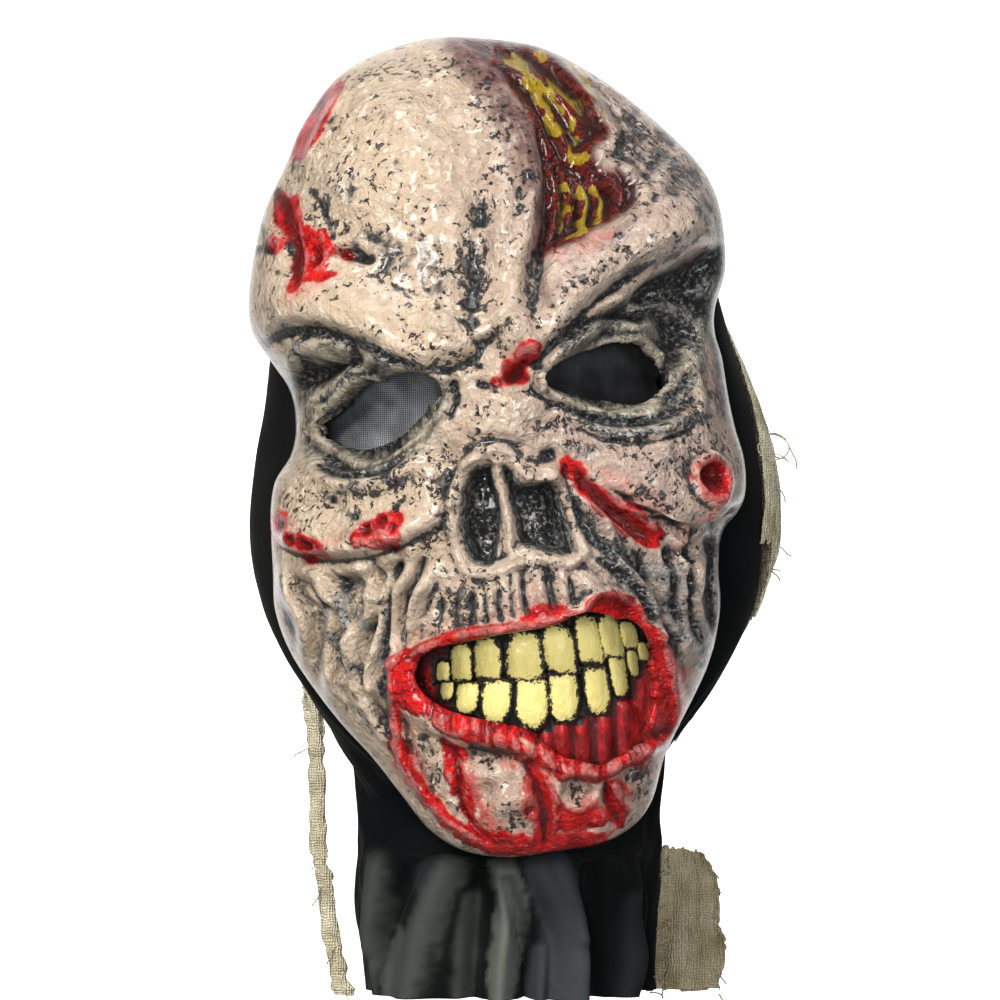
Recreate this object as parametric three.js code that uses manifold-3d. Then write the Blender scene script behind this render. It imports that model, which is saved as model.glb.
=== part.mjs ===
// A latex corpse-face mask with a cloth hood: one hollow face casting with eye holes and an
// open mouth, fabric meshes behind the eyes, two rows of teeth behind the lips, a black hood
// that covers the back of the head and the neck, and two tatters of gauze tied to the hood.
// Millimetres, +Z up. The face looks along -Y, and the origin is where the top of the
// wearer's head meets the inside of the crown.
import * as THREE from "three";
import Module from "manifold-3d";

const wasm = await Module();
wasm.setup();

// Sizes of the face casting
const faceWidth = 168; // widest, over the cheekbone and the brow
const faceHeight = 279; // crown to chin
const faceDepth = 80; // from the crown's outline forward to the root of the nose
const latexWall = 2.6;

// Sizes of the small pieces
const fitGap = 0.4; // clearance between a piece and its seat
const eyeMeshWall = 1.0;
const eyeMeshMargin = 4; // how far a mesh is glued past the rim of its hole
const gumWall = 3.0;
const gumMargin = 4;
const biteGap = 0.5; // between the upper and the lower teeth
const toothThickness = 5.5;
const toothSink = 2.4; // how deep a tooth is set in the gum
const toothBevel = 1.3;

// Sizes of the hood
const clothWall = 1.5;
const hoodWidth = 181; // at the widest, behind the temples
const hoodDepth = 150; // of the part behind the throat
const hoodHeight = 285; // of the part above the throat
const hoodAside = 4.5; // how far the cloth hangs to the right of the face's middle
const throatBehind = 14; // the throat's fold line lies this far in front of the crown's outline
const throatBelow = 140; // and this far below the middle of the face
const neckWidth = 106;
const neckDepth = 70;
const drapeDrop = 47; // from the throat's fold line down to the hem
const rimLap = 2.2; // how far the cloth runs past the latex rim before it turns out
const tuckGap = 1.2; // between the tucked edge of the cloth and the latex

// Sizes of the gauze
const gauzeWall = 1.6;
const strandWidth = 8;
const strandDrop = 115; // from the left strand's knot down to its end
const scrapPuff = 3.5; // how far the scrap behind the right cheek stands off the hood
const panelFlare = 21; // how far the panel at the neck reaches past the drape

// How finely the surfaces are drawn
const cellsAcross = 24;
const cellsUp = 36;
const middleCrowding = 0.3; // how much closer the cells lie in the middle than evenly
const edgeCrowding = 0.22; // how much closer the cells lie at the outline than in the middle
const wallRings = 2;
const lineSteps = 2; // stretches between two points of a drawn line
const outlineSteps = 12;
const tuckStep = 0.5; // share of the side wall where the cloth's tucked edge starts
const reliefEnd = 0.86; // share of the way to the outline where the forms begin to fade
const holeDepth = 1 / 3; // of the face's depth: the holes are cut from this far in front

// The outline of the face from the front, clockwise from the crown. across and up are in
// hundredths of the face's width and height from its middle, edge and rim are the depth of
// the outline and of the rear rim in hundredths of the face's depth, positive to the back,
// and pull is the share of the outline's size that the rim keeps.
const outlineRows = [
  { across: -3, up: 50, edge: 2, rim: 56, pull: 0.94 },
  { across: 9, up: 49, edge: 2, rim: 56, pull: 0.94 },
  { across: 19, up: 46, edge: 2, rim: 55, pull: 0.94 },
  { across: 27, up: 42.5, edge: 2, rim: 54, pull: 0.94 },
  { across: 35, up: 38.5, edge: 3, rim: 52, pull: 0.94 },
  { across: 41, up: 35, edge: 4, rim: 50, pull: 0.94 },
  { across: 44.5, up: 31, edge: 5, rim: 48, pull: 0.94 },
  { across: 46, up: 25.5, edge: 5, rim: 46, pull: 0.94 },
  { across: 46, up: 20, edge: 4, rim: 44, pull: 0.94 },
  { across: 44.5, up: 14.5, edge: 4, rim: 42, pull: 0.95 },
  { across: 45.5, up: 7.5, edge: 0, rim: 40, pull: 0.95 },
  { across: 48, up: 2, edge: -8, rim: 37, pull: 0.93 },
  { across: 50, up: -3, edge: -14, rim: 34, pull: 0.91 },
  { across: 49.5, up: -7, edge: -14, rim: 31, pull: 0.91 },
  { across: 46, up: -10.5, edge: -8, rim: 28, pull: 0.93 },
  { across: 45, up: -15, edge: -6, rim: 24, pull: 0.93 },
  { across: 45, up: -20, edge: -8, rim: 20, pull: 0.92 },
  { across: 43.5, up: -25.5, edge: -14, rim: 15, pull: 0.91 },
  { across: 40.5, up: -30, edge: -22, rim: 9, pull: 0.91 },
  { across: 37, up: -35, edge: -31, rim: 3, pull: 0.91 },
  { across: 34, up: -39.5, edge: -40, rim: -3, pull: 0.91 },
  { across: 30, up: -44, edge: -50, rim: -8, pull: 0.91 },
  { across: 23, up: -48, edge: -59, rim: -12, pull: 0.91 },
  { across: 13, up: -49, edge: -64, rim: -14, pull: 0.92 },
  { across: 2.5, up: -50, edge: -66, rim: -15, pull: 0.92 },
  { across: -7, up: -49, edge: -62, rim: -14, pull: 0.92 },
  { across: -14.5, up: -45.5, edge: -54, rim: -11, pull: 0.91 },
  { across: -20.5, up: -41, edge: -45, rim: -6, pull: 0.91 },
  { across: -27.5, up: -36, edge: -35, rim: 1, pull: 0.91 },
  { across: -34.5, up: -31, edge: -25, rim: 8, pull: 0.91 },
  { across: -40.5, up: -26, edge: -16, rim: 14, pull: 0.91 },
  { across: -44, up: -21, edge: -10, rim: 19, pull: 0.92 },
  { across: -45, up: -15, edge: -8, rim: 24, pull: 0.93 },
  { across: -46, up: -9, edge: -12, rim: 29, pull: 0.93 },
  { across: -44.5, up: -5, edge: -10, rim: 33, pull: 0.94 },
  { across: -40.5, up: -0.5, edge: -4, rim: 37, pull: 0.96 },
  { across: -40.5, up: 3.5, edge: 0, rim: 39, pull: 0.96 },
  { across: -43.5, up: 7, edge: 2, rim: 41, pull: 0.95 },
  { across: -47.5, up: 12, edge: 3, rim: 43, pull: 0.93 },
  { across: -49.5, up: 17.5, edge: 3, rim: 45, pull: 0.92 },
  { across: -49, up: 23.5, edge: 3, rim: 46, pull: 0.92 },
  { across: -46.5, up: 29.5, edge: 4, rim: 48, pull: 0.93 },
  { across: -42.5, up: 34.5, edge: 4, rim: 50, pull: 0.93 },
  { across: -39.5, up: 39, edge: 3, rim: 52, pull: 0.93 },
  { across: -34.5, up: 44, edge: 2, rim: 54, pull: 0.93 },
  { across: -26, up: 47, edge: 2, rim: 55, pull: 0.94 },
  { across: -14.5, up: 49.5, edge: 2, rim: 56, pull: 0.94 },
];

// The relief of the casting. line runs through points in hundredths of the face's width and
// height, half is half the form's width in hundredths of the face's width, rise is its
// height in hundredths of the face's depth, negative where it is cut in, and steep is how
// sharply its flanks fall.
const reliefRows = [
  { form: "left brain lobe", line: [[-25, 31], [-8, 37]], half: 20, rise: 7, steep: 2 },
  { form: "right brain lobe", line: [[28, 31], [38, 25]], half: 13, rise: 5, steep: 2 },
  { form: "skull wound", line: [[-3, 48], [5, 43], [13, 36], [19, 31]], half: 6.5, rise: -9, steep: 4 },
  { form: "wound's left lip", line: [[-9, 48], [-1, 40], [6.5, 33], [10, 26]], half: 2.8, rise: 4, steep: 2 },
  { form: "wound's right lip", line: [[15, 46], [21, 41], [27, 35], [29, 31]], half: 2.8, rise: 3, steep: 2 },
  { form: "wound's lower fold", line: [[13, 29], [20, 26], [26, 28]], half: 3.5, rise: -5, steep: 2 },
  { form: "frown groove", line: [[-3.5, 30], [-5, 21.5], [-6, 13]], half: 3.5, rise: -8, steep: 2 },
  { form: "frown ridge", line: [[4, 31], [2.5, 21.5], [3.5, 12]], half: 5, rise: 7, steep: 3 },
  { form: "right crease", line: [[10.5, 26], [8.5, 19], [10.5, 15]], half: 3, rise: -6, steep: 2 },
  { form: "right brow", line: [[7, 12.5], [17, 17], [29, 21.5], [43.5, 26]], half: 6.5, rise: 13, steep: 3 },
  { form: "left brow", line: [[-47, 15.5], [-35.5, 19], [-22.5, 16.5], [-10, 13]], half: 7, rise: 14, steep: 3 },
  { form: "left socket", line: [[-32, 6], [-16, 5.5]], half: 12.5, rise: -16, steep: 3 },
  { form: "right socket", line: [[17, 9], [33, 9.5]], half: 11.5, rise: -17, steep: 3 },
  { form: "right socket's hollow", line: [[29, 16], [35, 17]], half: 5, rise: -8, steep: 2 },
  { form: "left upper lid", line: [[-37, 3], [-31, 8], [-21, 10.8], [-9.5, 9.5]], half: 2.6, rise: 8, steep: 2 },
  { form: "left lower lid", line: [[-36, 0], [-26.5, -3], [-15, -0.5], [-8.5, 6]], half: 2.6, rise: 7, steep: 2 },
  { form: "left brow pad", line: [[-36, 11.5], [-32, 12.5]], half: 4.5, rise: 7, steep: 3 },
  { form: "right upper lid", line: [[9, 8], [18, 12.8], [28.5, 14], [39, 9.5]], half: 2.4, rise: 8, steep: 2 },
  { form: "right lower lid", line: [[10, 6.5], [20, 4], [31, 3.5], [40, 7]], half: 2.4, rise: 7, steep: 2 },
  { form: "nose bridge", line: [[2.5, 8], [1, 2]], half: 6.5, rise: 8, steep: 3 },
  { form: "left nose hole", line: [[-2.5, -4.5], [-3, -12]], half: 5.5, rise: -15, steep: 3 },
  { form: "right nose hole", line: [[8, -5.5], [10, -10.5]], half: 6, rise: -15, steep: 3 },
  { form: "septum", line: [[-0.5, -2], [1.5, -7], [3, -13]], half: 2.6, rise: 9, steep: 2 },
  { form: "nose rim, left", line: [[-5.5, -15.5], [-8.7, -10], [-7.5, -4], [0, 0.7]], half: 2.6, rise: 6, steep: 2 },
  { form: "nose rim, right", line: [[1, 0.5], [8, -2], [15, -5.5], [17.5, -13]], half: 2, rise: 5, steep: 2 },
  { form: "nose floor", line: [[-5.5, -15.5], [5, -14.2], [17, -13.5]], half: 2, rise: 4, steep: 2 },
  { form: "left cheekbone", line: [[-44, -6.5], [-35.5, -10], [-25.5, -12], [-12, -8]], half: 8, rise: 11, steep: 3 },
  { form: "right cheekbone", line: [[21, -2], [33, -4], [47, -4]], half: 9, rise: 12, steep: 3 },
  { form: "left cheek hollow", line: [[-37.5, -21], [-25.5, -21]], half: 9, rise: -9, steep: 2 },
  { form: "right cheek hollow", line: [[31, -18], [38, -21]], half: 7.5, rise: -9, steep: 2 },
  { form: "left outer tendon", line: [[-38, -15.5], [-31.5, -20], [-30, -30]], half: 1.9, rise: 4, steep: 2 },
  { form: "left middle tendon", line: [[-30, -15], [-25, -21], [-24, -31]], half: 1.9, rise: 4, steep: 2 },
  { form: "left inner tendon", line: [[-19, -14], [-19, -21], [-22, -29]], half: 1.9, rise: 5, steep: 2 },
  { form: "right inner tendon", line: [[31, -12], [35, -21], [40, -29]], half: 1.9, rise: 5, steep: 2 },
  { form: "right outer tendon", line: [[40, -11], [42, -19], [42, -26]], half: 1.9, rise: 4, steep: 2 },
  { form: "muzzle", line: [[-4, -26], [22, -26]], half: 20, rise: 9, steep: 3 },
  { form: "right smile fold", line: [[19, -14.5], [29, -20], [37, -29]], half: 2.6, rise: 4, steep: 2 },
  { form: "left smile fold", line: [[-10, -15], [-14, -20], [-20, -25]], half: 2.6, rise: 3, steep: 2 },
  { form: "upper lip", line: [[-21, -26], [-9.5, -22.3], [5, -20.5], [19, -18.3], [30, -19.5]], half: 2.8, rise: 5, steep: 2 },
  {
    form: "lower lip",
    line: [[-21, -27], [-15, -31.8], [1, -35], [13, -37.8], [25, -38.6], [35, -34], [37.5, -27], [32, -20]],
    half: 2.8,
    rise: 6,
    steep: 2,
  },
  { form: "chin", line: [[-4, -43], [22, -42.5]], half: 12, rise: 7, steep: 3 },
  { form: "left chin dent", line: [[-1, -41.5]], half: 4.5, rise: -5, steep: 2 },
  { form: "right chin dent", line: [[16.5, -41.5]], half: 4, rise: -5, steep: 2 },
  { form: "left jaw ridge", line: [[-31.5, -24], [-26.5, -31], [-19.5, -39]], half: 5, rise: 4, steep: 2 },
];

// Holes and seams, in hundredths of the face's width and height
const leftEyeHole = [[-35, 2], [-31.5, 6], [-24.5, 8.5], [-15.5, 9.4], [-10, 8], [-12, 4.5], [-18.5, 0.7], [-26.5, -0.6], [-32.5, 0]];
const rightEyeHole = [[10, 7.5], [16, 10.3], [23, 11.9], [30, 11.5], [36.5, 8.7], [33, 6.6], [26, 5.5], [18, 6]];
const mouthHole = [
  [-15.5, -27.8], [-9.5, -24.6], [3, -22.6], [15, -21], [23, -20.2], [31, -21.7],
  [34.5, -26.5], [33, -32.5], [26, -36], [17, -36.2], [8, -34.6], [-3, -32.6], [-11.5, -31],
];
const biteLine = [[-24, -29.5], [-8.5, -28.6], [5, -28.5], [10, -28], [22, -26.2], [27, -25], [44, -22]];

// Teeth, from left to right. across and up place the middle, wide and tall are in hundredths
// of the face's width and height, and lean is the turn in degrees.
const upperTeethRows = [
  { across: -7.2, up: -26.4, wide: 3.6, tall: 4.1, lean: 4 },
  { across: -1.6, up: -26, wide: 5, tall: 5, lean: 4 },
  { across: 5.5, up: -25.6, wide: 6.9, tall: 5.6, lean: 5 },
  { across: 12.9, up: -24.9, wide: 6.2, tall: 5.6, lean: 6 },
  { across: 18.9, up: -23.8, wide: 5.3, tall: 5.4, lean: 12 },
  { across: 23.8, up: -23.3, wide: 4.3, tall: 4.6, lean: 16 },
  { across: 27.6, up: -22.9, wide: 3, tall: 3, lean: 18 },
];
const lowerTeethRows = [
  { across: -5.8, up: -30.6, wide: 4.2, tall: 3.6, lean: -4 },
  { across: -0.2, up: -31, wide: 5.7, tall: 4.8, lean: -3 },
  { across: 7.1, up: -31.2, wide: 6, tall: 5.3, lean: 2 },
  { across: 14, up: -30.6, wide: 6.1, tall: 5.4, lean: 6 },
  { across: 20.3, up: -29, wide: 4.9, tall: 5, lean: 8 },
  { across: 24.9, up: -27.5, wide: 3.2, tall: 4.2, lean: 8 },
  { across: 27.9, up: -26.3, wide: 2, tall: 3.4, lean: 8 },
];

// Sections of the hood behind the latex rim. Each lies in a plane through the throat's fold
// line. lean is the plane's turn from upright to the back in degrees, wide, near and far are
// shares of the hood's width, and of its depth (far at 90 degrees) and height (at 0), round
// is how far the section has left the form of the rim, and fold is the share of the folds'
// height at the hem.
const hoodRows = [
  { lean: 18, wide: 0.99, near: 0.05, far: 1, round: 0.5, fold: 0 },
  { lean: 26, wide: 1, near: 0.05, far: 0.995, round: 0.95, fold: 0 },
  { lean: 33.5, wide: 0.99, near: 0.045, far: 0.95, round: 1, fold: 0 },
  { lean: 41, wide: 0.91, near: 0.04, far: 0.89, round: 1, fold: 0.1 },
  { lean: 50, wide: 0.77, near: 0.035, far: 0.79, round: 1, fold: 0.25 },
  { lean: 59, wide: 0.64, near: 0.03, far: 0.68, round: 1, fold: 0.35 },
  { lean: 72, wide: 0.595, near: 0.02, far: 0.555, round: 1, fold: 0.35 },
  { lean: 90, wide: 0.585, near: 0.01, far: 0.477, round: 1, fold: 0.3 },
];

// Sections of the drape below the throat. down is the share of the drop, wide and deep the
// shares of the neck's size there, and fold that of the folds' height.
const drapeRows = [
  { down: 0.3, wide: 0.98, deep: 0.98, fold: 0.5 },
  { down: 0.65, wide: 0.95, deep: 0.96, fold: 0.75 },
  { down: 1, wide: 0.925, deep: 0.94, fold: 1 },
];

// Folds that open downwards in the drape. at is the place round the hood as a share of a
// turn clockwise from the crown, half its half width in the same shares, and rise its height
// at the hem in hundredths of the neck's width.
const foldRows = [
  { at: 0.435, half: 0.016, rise: 6 },
  { at: 0.405, half: 0.014, rise: -3.5 },
  { at: 0.465, half: 0.014, rise: -4 },
  { at: 0.495, half: 0.014, rise: 3.5 },
  { at: 0.53, half: 0.016, rise: -3.5 },
  { at: 0.57, half: 0.02, rise: 3 },
  { at: 0.62, half: 0.022, rise: -3 },
  { at: 0.35, half: 0.022, rise: 3 },
  { at: 0.28, half: 0.03, rise: -3 },
  { at: 0.67, half: 0.025, rise: 3 },
  { at: 0.74, half: 0.03, rise: -3 },
  { at: 0.2, half: 0.03, rise: 3.5 },
  { at: 0.81, half: 0.03, rise: 3.5 },
  { at: 0.12, half: 0.03, rise: -3.5 },
  { at: 0.89, half: 0.03, rise: -3.5 },
  { at: 0.03, half: 0.03, rise: 3.5 },
];

// The left strand of gauze, downwards from its knot on the hood. down is the share of its
// drop, out and back are sideways and rearward moves in hundredths of the drop, wide is the
// share of its width, and turn is its twist in degrees.
const strandRows = [
  { down: 0, out: 0, back: 0, wide: 0.9, turn: 90 },
  { down: 0.06, out: -0.5, back: 0, wide: 1.05, turn: 40 },
  { down: 0.14, out: -0.5, back: 1, wide: 1.05, turn: 20 },
  { down: 0.24, out: 0.9, back: 1, wide: 0.9, turn: 35 },
  { down: 0.36, out: 1.2, back: 2, wide: 0.8, turn: 10 },
  { down: 0.56, out: 2.1, back: 1, wide: 0.8, turn: -20 },
  { down: 0.65, out: 4.1, back: 0, wide: 0.85, turn: -35 },
  { down: 0.79, out: 4.7, back: 1, wide: 0.75, turn: -10 },
  { down: 0.92, out: 7, back: 2, wide: 0.9, turn: 15 },
  { down: 1, out: 8.6, back: 2, wide: 1, turn: 25 },
];

// The panel of gauze at the neck hangs on the drape and reaches past it to the right. There
// is a row for the throat and one for each section of the drape: flare is the share of its
// reach, and sway how far its free edge lies to the back in the same shares.
const panelRows = [
  { flare: 0.7, sway: 0.25 },
  { flare: 0.9, sway: 0.4 },
  { flare: 1, sway: 0.2 },
  { flare: 0.95, sway: 0.35 },
];

// Where the gauze lies on the hood, as shares of a turn clockwise from the crown
const scrapFrom = 0.15;
const scrapTo = 0.26;
const panelFrom = 0.08;
const panelTo = 0.22;
const panelCells = 3; // in the part of the panel that hangs free
const scrapRings = [4, 9]; // the hood's rings that the scrap lies on, from and before

const hundredth = 0.01;
const nosePole = [2.4, -2.7]; // the point that the face's rings close on
const forehead = new THREE.Vector3(0, 20, 0); // the middle of the head, which walls face

const xOf = (across) => across * hundredth * faceWidth;
const zOf = (up) => up * hundredth * faceHeight;
const yOf = (depth) => depth * hundredth * faceDepth;
const smooth = (low, high, value) => THREE.MathUtils.smoothstep(value, low, high);

// A drawn line as short stretches, or one point
function drawn(points, closed = false) {
  const at = points.map(([across, up]) => new THREE.Vector3(xOf(across), 0, zOf(up)));
  if (at.length < 3 && !closed) return at;
  return new THREE.CatmullRomCurve3(at, closed, "centripetal").getPoints(lineSteps * at.length);
}

function distanceTo(line, x, z) {
  let nearest = Infinity;
  line.forEach((a, i) => {
    const b = line[Math.min(i + 1, line.length - 1)];
    const dx = b.x - a.x;
    const dz = b.z - a.z;
    const length = dx * dx + dz * dz;
    const t = length ? THREE.MathUtils.clamp(((x - a.x) * dx + (z - a.z) * dz) / length, 0, 1) : 0;
    nearest = Math.min(nearest, Math.hypot(x - a.x - t * dx, z - a.z - t * dz));
  });
  return nearest;
}

const reliefLines = reliefRows.map((row) => ({ ...row, path: drawn(row.line) }));

function reliefAt(x, z) {
  return reliefLines.reduce((sum, row) => {
    const reach = distanceTo(row.path, x, z) / xOf(row.half);
    return sum + yOf(row.rise) * Math.exp(-(reach ** row.steep));
  }, 0);
}

// The outline's two closed curves: its points, and its rim values
const outlineCurve = new THREE.CatmullRomCurve3(
  outlineRows.map((row) => new THREE.Vector3(xOf(row.across), yOf(row.edge), zOf(row.up))),
  true,
);
const rimCurve = new THREE.CatmullRomCurve3(
  outlineRows.map((row) => new THREE.Vector3(row.pull, yOf(row.rim), 0)),
  true,
);

// The outline's place round the pole of each of its points, as a share of a turn clockwise
// from straight up
const pole = new THREE.Vector3(xOf(nosePole[0]), -faceDepth, zOf(nosePole[1]));
const turnOf = (x, up) => (Math.atan2(x, up) / (2 * Math.PI) + 1) % 1;
const edgeCount = outlineSteps * outlineRows.length;
const edgeTable = Array.from({ length: edgeCount }, (_, i) => {
  const edge = outlineCurve.getPoint(i / edgeCount);
  const rim = rimCurve.getPoint(i / edgeCount);
  const turn = turnOf((edge.x - pole.x) / faceWidth, (edge.z - pole.z) / faceHeight);
  return { edge, rim, turn };
}).sort((a, b) => a.turn - b.turn);

function edgeAt(turn) {
  const found = edgeTable.findIndex((entry) => entry.turn > turn);
  const after = edgeTable[found < 0 ? 0 : found];
  const before = edgeTable.at((found < 0 ? 0 : found) - 1);
  const t = ((turn - before.turn + 1) % 1) / ((after.turn - before.turn + 1) % 1);
  return {
    edge: before.edge.clone().lerp(after.edge, t),
    rim: before.rim.clone().lerp(after.rim, t),
  };
}

// A point of the face's outer surface. turn is the share of the way round the pole, and
// reach runs from 0 at the pole over 1 at the outline to 2 at the rear rim.
function facePoint(turn, reach) {
  const { edge, rim } = edgeAt(turn);
  if (reach > 1) {
    const back = reach - 1;
    const keep = 1 - (1 - rim.x) * back ** 2;
    return new THREE.Vector3(edge.x * keep, edge.y + (rim.y - edge.y) * back, edge.z * keep);
  }
  const x = pole.x + (edge.x - pole.x) * reach;
  const z = pole.z + (edge.z - pole.z) * reach;
  const round = 1 - Math.sqrt(1 - reach ** 2);
  const fade = 1 - smooth(reliefEnd, 1, reach);
  return new THREE.Vector3(x, pole.y + (edge.y - pole.y) * round - reliefAt(x, z) * fade, z);
}

const towards = (point, centre, move) =>
  point.clone().add(new THREE.Vector3().subVectors(centre, point).setLength(move));

// The front of the face as a rectangle of cells pressed into a disc, and the places of the
// disc's rim in order round it
function discPlace(i, j) {
  const crowded = (share) => share * (1 - middleCrowding) + middleCrowding * share ** 3;
  const u = crowded((2 * i) / cellsAcross - 1);
  const v = crowded((2 * j) / cellsUp - 1);
  const x = u * Math.sqrt(1 - v ** 2 / 2);
  const up = v * Math.sqrt(1 - u ** 2 / 2);
  const radius = Math.min(Math.hypot(x, up), 1);
  return { turn: turnOf(x, up), reach: Math.min(radius * (1 + edgeCrowding * (1 - radius ** 2)), 1) };
}

const rimCells = [];
for (let i = 0; i < cellsAcross; i += 1) rimCells.push([i, cellsUp]);
for (let j = cellsUp; j > 0; j -= 1) rimCells.push([cellsAcross, j]);
for (let i = cellsAcross; i > 0; i -= 1) rimCells.push([i, 0]);
for (let j = 0; j < cellsUp; j += 1) rimCells.push([0, j]);
const rimTurns = rimCells.map(([i, j]) => discPlace(i, j).turn);

const frontPlaces = Array.from({ length: cellsUp + 1 }, (_, j) =>
  Array.from({ length: cellsAcross + 1 }, (__, i) => discPlace(i, j)),
);

// The face's front and its side wall as two grids that meet at the outline. sunk moves them
// into the wall.
function faceGrids(sunk) {
  const at = ({ turn, reach }) => towards(facePoint(turn, reach), forehead, sunk);
  const front = frontPlaces.map((row) => row.map(at));
  const side = Array.from({ length: wallRings + 1 }, (_, i) =>
    rimTurns.map((turn) => at({ turn, reach: 1 + i / wallRings })),
  );
  side[0] = rimCells.map(([i, j]) => front[j][i]);
  return { front, side };
}

// A closed solid from triangles of points, turned so that its faces point out
function solid(triangles) {
  const index = new Map();
  const vertices = [];
  const faces = [];
  const idOf = (p) => {
    const key = p.toArray().map((value) => value.toFixed(4)).join();
    if (!index.has(key)) {
      index.set(key, vertices.length / 3);
      vertices.push(p.x, p.y, p.z);
    }
    return index.get(key);
  };
  let volume = 0;
  triangles.forEach(([a, b, c]) => {
    const ids = [a, b, c].map(idOf);
    if (new Set(ids).size < 3) return;
    volume += a.dot(new THREE.Vector3().crossVectors(b, c));
    faces.push(...ids);
  });
  if (volume < 0)
    for (let i = 0; i < faces.length; i += 3) [faces[i], faces[i + 1]] = [faces[i + 1], faces[i]];
  return new wasm.Manifold(
    new wasm.Mesh({
      numProp: 3,
      vertProperties: new Float32Array(vertices),
      triVerts: new Uint32Array(faces),
    }),
  );
}

// The two triangles of a four-cornered face, split along its shorter diagonal
function quad(a, b, c, d) {
  return a.distanceTo(c) <= b.distanceTo(d) ? [[a, b, c], [a, c, d]] : [[a, b, d], [b, c, d]];
}

// Triangles of a grid of rows. round joins each row's ends.
function gridFaces(rows, round) {
  const faces = [];
  for (let i = 0; i + 1 < rows.length; i += 1) {
    const last = rows[i].length - (round ? 0 : 1);
    for (let j = 0; j < last; j += 1) {
      const next = (j + 1) % rows[i].length;
      faces.push(...quad(rows[i][j], rows[i][next], rows[i + 1][next], rows[i + 1][j]));
    }
  }
  return faces;
}

const flipped = (faces) => faces.map(([a, b, c]) => [a, c, b]);

const skinOf = ({ front, side }) => [...gridFaces(front, false), ...gridFaces(side, true)];

// A wall between two grids of rows, closed along its free edges
function wallSolid(outer, inner, round) {
  const faces = [...gridFaces(outer, round), ...flipped(gridFaces(inner, round))];
  faces.push(...gridFaces([outer.at(-1), inner.at(-1)], round));
  faces.push(...flipped(gridFaces([outer[0], inner[0]], round)));
  if (!round) {
    const side = (rows, j) => rows.map((row) => row.at(j));
    faces.push(...gridFaces([side(outer, 0), side(inner, 0)], false));
    faces.push(...flipped(gridFaces([side(outer, -1), side(inner, -1)], false)));
  }
  return solid(faces);
}

// The space inside the face casting, sunk below its outer surface and closed at the rim
function hollowOf(sunk) {
  const grids = faceGrids(sunk);
  const rim = grids.side.at(-1);
  const middle = rim.reduce((sum, p) => sum.add(p), new THREE.Vector3()).divideScalar(rim.length);
  const back = rim.map((point, i) => [middle, point, rim[(i + 1) % rim.length]]);
  return solid([...skinOf(grids), ...back]);
}

// A manifold solid of any closed three.js geometry
function solidOf(geometry) {
  const flat = geometry.index ? geometry.toNonIndexed() : geometry;
  const position = flat.getAttribute("position");
  const point = (i) => new THREE.Vector3().fromBufferAttribute(position, i);
  const triangles = [];
  for (let i = 0; i < position.count; i += 3) triangles.push([point(i), point(i + 1), point(i + 2)]);
  return solid(triangles);
}

// A prism along Y through the front of the face alone, from an outline in the XZ plane
function prismOf(points) {
  const shape = new THREE.Shape(points.map((p) => new THREE.Vector2(p.x, p.z)));
  const geometry = new THREE.ExtrudeGeometry(shape, { depth: 2 * faceDepth, bevelEnabled: false });
  geometry.rotateX(Math.PI / 2);
  geometry.translate(0, -faceDepth * holeDepth, 0);
  return solidOf(geometry);
}

// An outline grown outwards from its middle
function grown(points, margin) {
  const line = drawn(points, true).slice(0, -1);
  const middle = line.reduce((sum, p) => sum.add(p), new THREE.Vector3()).divideScalar(line.length);
  return line.map((p) => towards(p, middle, -margin));
}

// A sheet that lies against the inside of the casting, under an outline
const liningOf = (points, margin, wall) =>
  hollowOf(latexWall + fitGap)
    .subtract(hollowOf(latexWall + fitGap + wall))
    .intersect(prismOf(grown(points, margin)));

// The depth of the gum's front, where the teeth are set
const gumPoints = faceGrids(latexWall + fitGap).front.flat();
function gumFront(x, z) {
  const away = (p) => Math.hypot(p.x - x, p.z - z);
  return gumPoints.reduce((nearest, p) => (away(p) < away(nearest) ? p : nearest)).y;
}

// One tooth: a block with a bevelled face that leans with the row and follows the arch of
// the gum
function toothOf(row) {
  const wide = xOf(row.wide) / 2;
  const tall = zOf(row.tall) / 2;
  const inWide = wide - toothBevel;
  const inTall = tall - toothBevel;
  const x = xOf(row.across);
  const z = zOf(row.up);
  const slope = Math.atan2(gumFront(x + wide, z) - gumFront(x - wide, z), 2 * wide);
  const ring = (halfWide, halfTall, out) =>
    [[-1, -1], [1, -1], [1, 1], [-1, 1]].map(
      ([right, up]) => new THREE.Vector3(right * halfWide, toothSink - out, up * halfTall),
    );
  const rings = [
    ring(wide, tall, 0),
    ring(wide, tall, toothThickness - toothBevel),
    ring(inWide, inTall, toothThickness),
  ];
  const place = new THREE.Matrix4()
    .makeTranslation(x, gumFront(x, z), z)
    .multiply(new THREE.Matrix4().makeRotationZ(slope))
    .multiply(new THREE.Matrix4().makeRotationY(-THREE.MathUtils.degToRad(row.lean)));
  rings.flat().forEach((p) => p.applyMatrix4(place));
  const cap = ([a, b, c, d]) => [[a, b, c], [a, c, d]];
  return solid([...gridFaces(rings, true), ...cap(rings.at(-1)), ...flipped(cap(rings[0]))]);
}

// A row of teeth with its half of the gum. side is 1 above the bite and -1 below.
function teethOf(rows, side) {
  const bite = drawn(biteLine).map((p) => p.clone().add(new THREE.Vector3(0, 0, (side * biteGap) / 2)));
  const far = side * faceHeight;
  const half = [
    ...bite,
    new THREE.Vector3(bite.at(-1).x, 0, far),
    new THREE.Vector3(bite[0].x, 0, far),
  ];
  const gum = liningOf(mouthHole, gumMargin, gumWall);
  const teeth = rows.map(toothOf).reduce((sum, tooth) => sum.add(tooth));
  return teeth.intersect(prismOf(grown(mouthHole, -fitGap))).add(gum).intersect(prismOf(half));
}

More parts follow.
